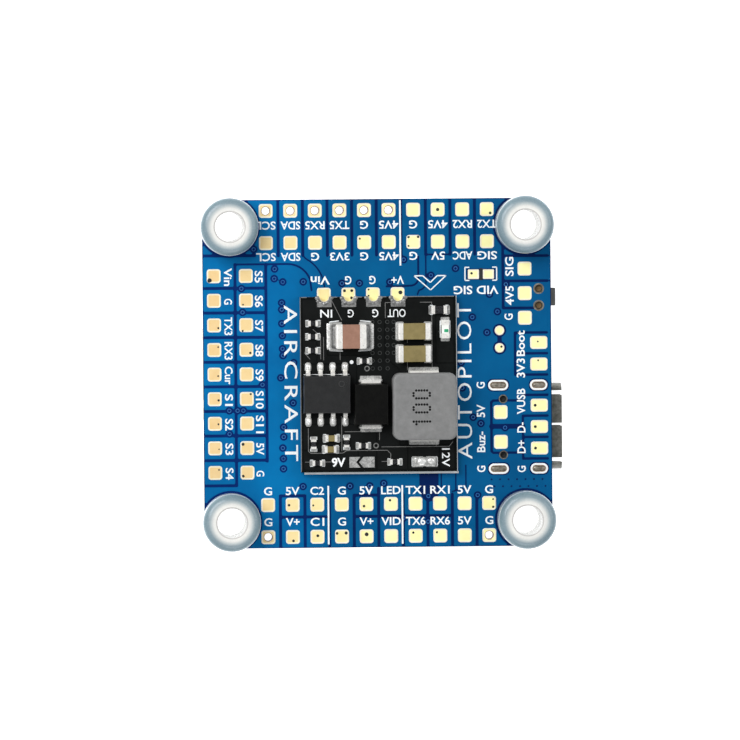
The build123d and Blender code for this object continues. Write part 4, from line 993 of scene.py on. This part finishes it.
def regulator_vias():
    """Faint traces and vias on the black board, and painted highlight lines along its left and rear edges."""
    faint = Shape()
    z = regulator_top
    left, rear = regulator_low.x, regulator_high.y
    for x in (-0.55, 0.2, 1.0, 1.65):
        for y in (5.3, 4.5, 3.7, 2.9, 2.1, 1.3, 0.5):
            if y > 1.4 or x < 1.2:
                ring(faint, x, y, z + 0.004, 0.22, 0.14, 0.02, 1)
    # painted highlight: thin pale lines along the board's left and rear edges
    ink_line(faint, (left + 0.03, regulator_low.y + 0.1), (left + 0.03, rear - 0.1), 0.06, z + 0.003)
    for first, last in ((0, 0.7), (3.24, 3.84), (5.78, 6.38), (8.32, 8.92), (10.9, 15.9)):
        ink_line(faint, (left + first + 0.1, rear - 0.04), (left + last, rear - 0.04), 0.08, z + 0.003)
    for trace in REGULATOR_TRACES:
        ink_path(faint, trace, 0.06, z + 0.012)
    for x, y in ((-1.13, 0.5), (-0.26, -7.46)):
        ring(faint, x, y, z + 0.015, 0.3, 0.17, 0.025)
    disc(faint, -2.72, 1.18, z + 0.015, 0.2, 0.025, 2)
    faint.make("regulator_vias", [FAINT_MARKS_AND_EDGE_HIGHLIGHT, VIA_GREY, WHITE_INK_AND_RIM_HIGHLIGHT], "black_laminate")


def regulator_solder():
    """Solder at every foot on the black board: bright, grey on the jumper with two bright heaps as painted
    highlights, and dark on the capacitor.
    """
    z = regulator_top
    edges = solder_skirts(("output_capacitor_ends",), z, 0.16, 0.5)
    rough = Shape()
    grey = Shape()
    chip_low, chip_high = box_mm("regulator_chip_body")
    for x, y, size_x, size_y in flat("regulator_chip_leads"):
        outward = 1 if y > (chip_low.y + chip_high.y) / 2 else -1
        mound(edges, x, y + outward * (size_y / 2 - 0.22), z + 0.005, size_x / 2 + 0.13, 0.46, 0.34, 0.24)
        mound(edges, x, y + outward * (size_y / 2 - 0.86), z + 0.16, size_x / 2 + 0.03, 0.24, 0.24, 0.12)
    small = solder_skirts(("regulator_small_part_ends",), z, 0.1, 0.6)
    for (x, y, _), (size_x, size_y, size_z) in islands("regulator_small_part_ends"):
        mound(small, x, y, z + size_z - 0.02, size_x / 2 + 0.02, size_y / 2 + 0.02, 0.07, 0.06)
    edges.join(small)
    for x, y, size_x, size_y in flat("regulator_diode_tabs"):
        fillet(edges, x, y, z, size_x / 2, size_y / 2, 0.25, 0.22)
        outward = 1 if y > regulator_centre.y - 2 else -1
        mound(edges, x, y + outward * (size_y / 2 - 0.13), z + 0.02, size_x / 2 + 0.24, 0.17, 0.4, 0.12)
        mound(edges, x, y + outward * (size_y / 2 - 0.58), z + 0.22, size_x / 2 + 0.04, 0.2, 0.32, 0.06)
    for x, y, size_x, size_y in flat("input_capacitor_ends"):
        outward = 1 if x > -2.8 else -1
        mound(edges, x + outward * 0.35, y, z + 0.002, 0.86, size_y / 2 + 0.16, 0.05, 0.22)
        mound(rough, x + outward * 0.42, y, z + 0.03, 0.34, size_y / 2 - 0.02, 0.5, 0.2)
    for x, y, size_x, size_y in flat("regulator_inductor_terminals"):
        fillet(edges, x, y, z, size_x / 2, size_y / 2, 0.14, 0.16)
    low, high = box_mm("regulator_jumper_solder")
    middle_y = (low.y + high.y) / 2
    half_x, half_y = (high.x - low.x) / 2 - 0.04, (high.y - low.y) / 2
    mound(grey, (low.x + high.x) / 2, middle_y, high.z - 0.04, half_x, half_y, 0.1, 0.15)
    # painted highlights: two heaps of bright solder on the grey jumper solder
    mound(edges, low.x + 0.85, middle_y, high.z + 0.01, 0.45, 0.36, 0.12)
    mound(edges, high.x - 0.55, middle_y + 0.08, high.z + 0.01, 0.34, 0.3, 0.11)
    grey.make("jumper_solder", [SOLDER_GREY], "solder", smooth=True)
    rough.make("capacitor_solder", [SOLDER_DARK], "solder", smooth=True)
    edges.make("regulator_solder", [SOLDER], "solder", smooth=True)


def lamp_mark():
    """The green mark in the power lamp's resin."""
    low, high = box_mm("regulator_lamp_body")
    mark = Shape()
    mark.stack([round_ring((low.x + high.x) / 2 + 0.1, low.y + 0.3, high.z + lift, 0.22 - lift, 0.16 - lift,
                           0.08) for lift in (0.0, 0.02)])
    mark.make("lamp_mark", [LAMP_GREEN], "lamp_resin")


def half_hole_solder():
    """Uneven beads of solder round the inner side of each half-hole."""
    lands = Shape()
    beads = 7
    for x in HALF_HOLES:
        for step in range(beads):
            angle = math.radians(190 + 160 * step / (beads - 1))
            reach = 0.72 + 0.05 * random.random()
            place = x + reach * math.cos(angle), regulator_high.y + reach * math.sin(angle) * 0.95
            half_x, half_y, height = (least + 0.05 * random.random() for least in (0.2, 0.17, 0.07))
            mound(lands, *place, regulator_top + 0.005, half_x, half_y, height)
    lands.make("half_hole_solder", [SOLDER_DARK], "solder", smooth=True)


def chip_corner_mark():
    """The moulded ring that marks the regulator chip's first lead."""
    _, high = box_mm("regulator_chip_body")
    x, y = high.x - 0.95, high.y - 0.85
    dot = Shape()
    ring(dot, x, y, high.z, 0.44, 0.31, 0.012)
    disc(dot, x, y, high.z - 0.004, 0.31, 0.01, 1)
    dot.make("chip_corner_mark", [CODE_RING, CHIP], "chip_plastic")


DIGITS = {"1": ("010", "110", "010", "010", "010", "010", "010"),
          "0": ("0110", "1001", "1001", "1001", "1001", "1001", "0110")}


def inductor_marks():
    """The inductance code burnt as dots into the core's top, read from the signal side."""
    core_low, core_high = box_mm("regulator_inductor_core")
    dots = Shape()
    x_middle = (core_low.x + core_high.x) / 2 - 0.35
    for digit, y in (("0", -2.15), ("0", -3.6), ("1", -4.95)):
        for row, line in enumerate(DIGITS[digit]):
            for column, mark in enumerate(line):
                if mark == "1":
                    x = x_middle + (row - 3) * 0.28
                    place = y + (column - (len(line) - 1) / 2) * 0.27
                    disc(dots, x, place, core_high.z - 0.004, 0.125, 0.012)
    dots.make("inductor_code", [BLACK_MARK], "moulded_powder")


# ------------------------------------------------------------------ the button's spring
def snap_dome():
    """The arched spring behind the plunger."""
    low, high = box_mm("button_dome")
    thickness, press = 0.08, 0.19
    middle, half = (low.y + high.y) / 2, (high.y - low.y) / 2
    depth = high.x - low.x
    steps = 14
    across = [-1 + 2 * step / steps for step in range(steps + 1)]
    outer = [(low.x + depth * (1 - t * t), middle + half * t) for t in across]
    inner = [(low.x + (depth - thickness) * (1 - t * t),
              middle + (half - thickness) * t) for t in reversed(across)]
    spring = Shape()
    spring.stack([[(x, y, z) for x, y in outer + inner] for z in (low.z, (low.z + high.z) / 2, high.z)])
    piece = spring.make("snap_dome", [CAN], "can_metal", stands_for=("button_dome",))
    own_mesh(piece)


# ------------------------------------------------------------------ underneath
def keep_bottom_copper(grid_x, grid_y):
    """Positive where the lower side's copper is."""
    value = -box_distance(grid_x, grid_y, 0, 0, board_edge - 0.32, board_edge - 0.32, 2.5)
    for node_name in ("main_board_bottom_pads", "plated_hole_barrels"):
        for x, y, size_x, size_y in flat(node_name):
            value = np.minimum(value, box_distance(grid_x, grid_y, x, y, size_x / 2 + 0.16,
                                                   size_y / 2 + 0.16, 0.1))
    lines = [((-12, 11.5), (12, 11.5)), ((-12, -11.5), (9, -11.5)), ((-12.4, 9), (-12.4, -9)),
             ((9.5, 10.5), (9.5, 3)), ((7.8, -9.5), (7.8, 2)), ((-6.5, 10.8), (-6.5, 7.2)),
             ((-9.5, 6.9), (5.5, 6.9)), ((6.3, 6.9), (6.3, -8))]
    for start, end in lines:
        value = np.minimum(value, capsule_distance(grid_x, grid_y, start, end, 0.25))
    return clear_of_holes(value, grid_x, grid_y)


def underside_details():
    """Copper relief, ink and solder on the lower side."""
    pour("bottom_copper", keep_bottom_copper, board_bottom, COPPER_THICKNESS, False, MASK_COPPER,
         board_edge, board_edge)
    z = board_bottom - INK_LIFT
    ink = Shape()
    for prefix, name in (("R", "underside_resistor_bodies"), ("C", "underside_capacitor_bodies")):
        for number, (x, y, size_x, size_y) in enumerate(flat(name)):
            if max(size_x, size_y) > 1.1:
                letters(ink, f"{prefix}{number + 1}", x, y - size_y / 2 - 0.62, z, 0.42, 0, 0.0, 0.8, up=-1)
    for name in ("processor_body", "overlay_chip_body", "flash_chip_body", "gyro_sensor", "barometer_base"):
        low, high = box_mm(name)
        for sx, sy in ((-1, -1), (1, -1), (1, 1), (-1, 1)):
            x = high.x + 0.25 if sx > 0 else low.x - 0.25
            y = high.y + 0.25 if sy > 0 else low.y - 0.25
            ink_line(ink, (x, y), (x - sx * 0.7, y), 0.11, z, up=False)
            ink_line(ink, (x, y), (x, y - sy * 0.7), 0.11, z, up=False)
    ink.make("underside_labels", [WHITE_INK_AND_RIM_HIGHLIGHT], "blue_laminate")
    skirts = solder_skirts(("underside_resistor_ends", "underside_capacitor_ends", "status_lamp_ends"),
                           board_bottom, 0.08, 0.5, -1)
    skirts.make("underside_solder", [SOLDER], "solder", smooth=True)


# ------------------------------------------------------------------ pieces that keep the CAD's shape
PLAIN_FINISHES = (
    (GOLD_HIGHLIGHT, "regulator_edge_plating"),
    (FERRITE, "regulator_inductor_core five_volt_inductor_core"),
    (TIN, "regulator_inductor_terminals regulator_chip_leads regulator_diode_tabs input_capacitor_ends "
          "output_capacitor_ends regulator_small_part_ends processor_leads overlay_chip_leads "
          "flash_chip_leads small_regulator_leads five_volt_inductor_terminals underside_resistor_ends "
          "underside_capacitor_ends status_lamp_ends button_terminals connector_contacts "
          "connector_anchor_tabs"),
    (CHIP, "regulator_chip_body processor_body overlay_chip_body flash_chip_body small_regulator_bodies "
           "gyro_sensor"),
    (DIODE, "regulator_diode_body"),
    (BROWN, "input_capacitor_body"),
    (TAN, "output_capacitor_bodies regulator_small_capacitor_bodies underside_capacitor_bodies"),
    (RESISTOR, "regulator_resistor_bodies crystal_bases underside_resistor_bodies"),
    (LAMP, "regulator_lamp_body status_lamp_bodies"),
    (SOLDER, "regulator_jumper_solder"),
    (SENSOR_BASE, "barometer_base"),
    (CAN, "barometer_can crystal_lids button_dome"),
    (NICKEL_PAINTED_DARK_REFLECTION, "usb_shell button_cover"),
    (BLACK_NYLON, "usb_tongue"),
    (CONTACT, "usb_contacts"),
    (BUTTON_TAN, "button_base"),
    (BUTTON_GREY, "button_plunger"),
    (IVORY, "esc_connector_housing video_connector_housing"),
)


def plain_nodes():
    """CAD nodes whose shape is right keep it, and take a finish."""
    for material, names in PLAIN_FINISHES:
        for name in names.split():
            dress(name, material)
    for corner in ("front_usb_side", "rear_usb_side", "front_signal_side", "rear_signal_side"):
        dress("grommet_" + corner, SILICONE)
    dress_board("regulator_board", MASK_BLACK, LAMINATE_BLACK)
    lands = dress("regulator_pads", SOLDER_GREY, SOLDER_DARK)
    for face in lands.data.polygons:
        face.material_index = 1 if face.center.y / MM > 6.4 else 0


# ------------------------------------------------------------------ stage, light and camera
def floor_material():
    """A bright plain light-table surface."""
    material = bpy.data.materials.new("light_table")
    material.use_nodes = True
    shader = material.node_tree.nodes["Principled BSDF"]
    shader.inputs["Base Color"].default_value = (0.95, 0.95, 0.95, 1)
    shader.inputs["Roughness"].default_value = 0.9
    shader.inputs["Specular IOR Level"].default_value = 0.0
    shader.inputs["Emission Color"].default_value = (1, 1, 1, 1)
    shader.inputs["Emission Strength"].default_value = 0.9
    return material


def stage():
    """A large pale floor just under the grommets."""
    half = 1.2
    mesh = bpy.data.meshes.new("floor")
    level = -0.00002
    mesh.from_pydata([(-half, -half, level), (half, -half, level), (half, half, level),
                      (-half, half, level)], [], [(0, 1, 2, 3)])
    floor = bpy.data.objects.new("floor", mesh)
    bpy.context.scene.collection.objects.link(floor)
    mesh.materials.append(floor_material())


def area_light(name, place, size, power, colour=(1, 1, 1)):
    """A square soft light aimed at the board."""
    lamp = bpy.data.lights.new(name, "AREA")
    lamp.size = size
    lamp.energy = power
    lamp.color = colour
    holder = bpy.data.objects.new(name, lamp)
    holder.location = place
    aim = Vector((0, 0, 0.005)) - Vector(place)
    holder.rotation_euler = aim.to_track_quat("-Z", "Y").to_euler()
    bpy.context.scene.collection.objects.link(holder)


def lights():
    """A pale room, a key from behind the signal side and two fills."""
    world = bpy.data.worlds.new("room")
    world.use_nodes = True
    world.node_tree.nodes["Background"].inputs["Color"].default_value = (0.93, 0.96, 1.0, 1)
    world.node_tree.nodes["Background"].inputs["Strength"].default_value = 0.30
    bpy.context.scene.world = world
    area_light("key", (-0.24, 0.20, 0.42), 0.30, 2.1)
    area_light("fill", (0.34, 0.10, 0.30), 0.26, 0.5)
    area_light("front", (0.02, -0.36, 0.26), 0.24, 0.4)


def camera():
    """A long lens above the board, tipped a little so that its signal and rear sides just show."""
    lens = bpy.data.cameras.new("camera")
    frame_width = 76.45 * MM
    distance = 1.0
    lens.sensor_width = 36
    lens.lens = lens.sensor_width * distance / frame_width
    lens.clip_start = 0.01
    lens.clip_end = 10
    holder = bpy.data.objects.new("camera", lens)
    aim = Vector((-0.78, 0.33, board_top)) * MM
    tip_side, tip_rear, roll = math.radians(-2.4), math.radians(1.1), math.radians(-0.48)
    away = Vector((math.sin(tip_side), math.sin(tip_rear), 1)).normalized()
    turn = (away).to_track_quat("Z", "Y").to_matrix()
    up = turn.transposed() @ Vector((math.sin(-roll), math.cos(roll), 0))
    spin = Matrix.Rotation(math.atan2(-up.x, up.y), 3, "Z")
    place = (turn @ spin).to_4x4()
    place.translation = aim + away * distance
    holder.matrix_world = place
    bpy.context.scene.collection.objects.link(holder)
    bpy.context.scene.camera = holder
    bpy.context.scene.view_settings.view_transform = "Standard"


stage()
lights()
camera()
plain_nodes()
main_board()
gold_pads()
board_ink()
regulator_copper()
regulator_ink()
regulator_vias()
regulator_solder()
lamp_mark()
half_hole_solder()
chip_corner_mark()
inductor_marks()
snap_dome()
underside_details()
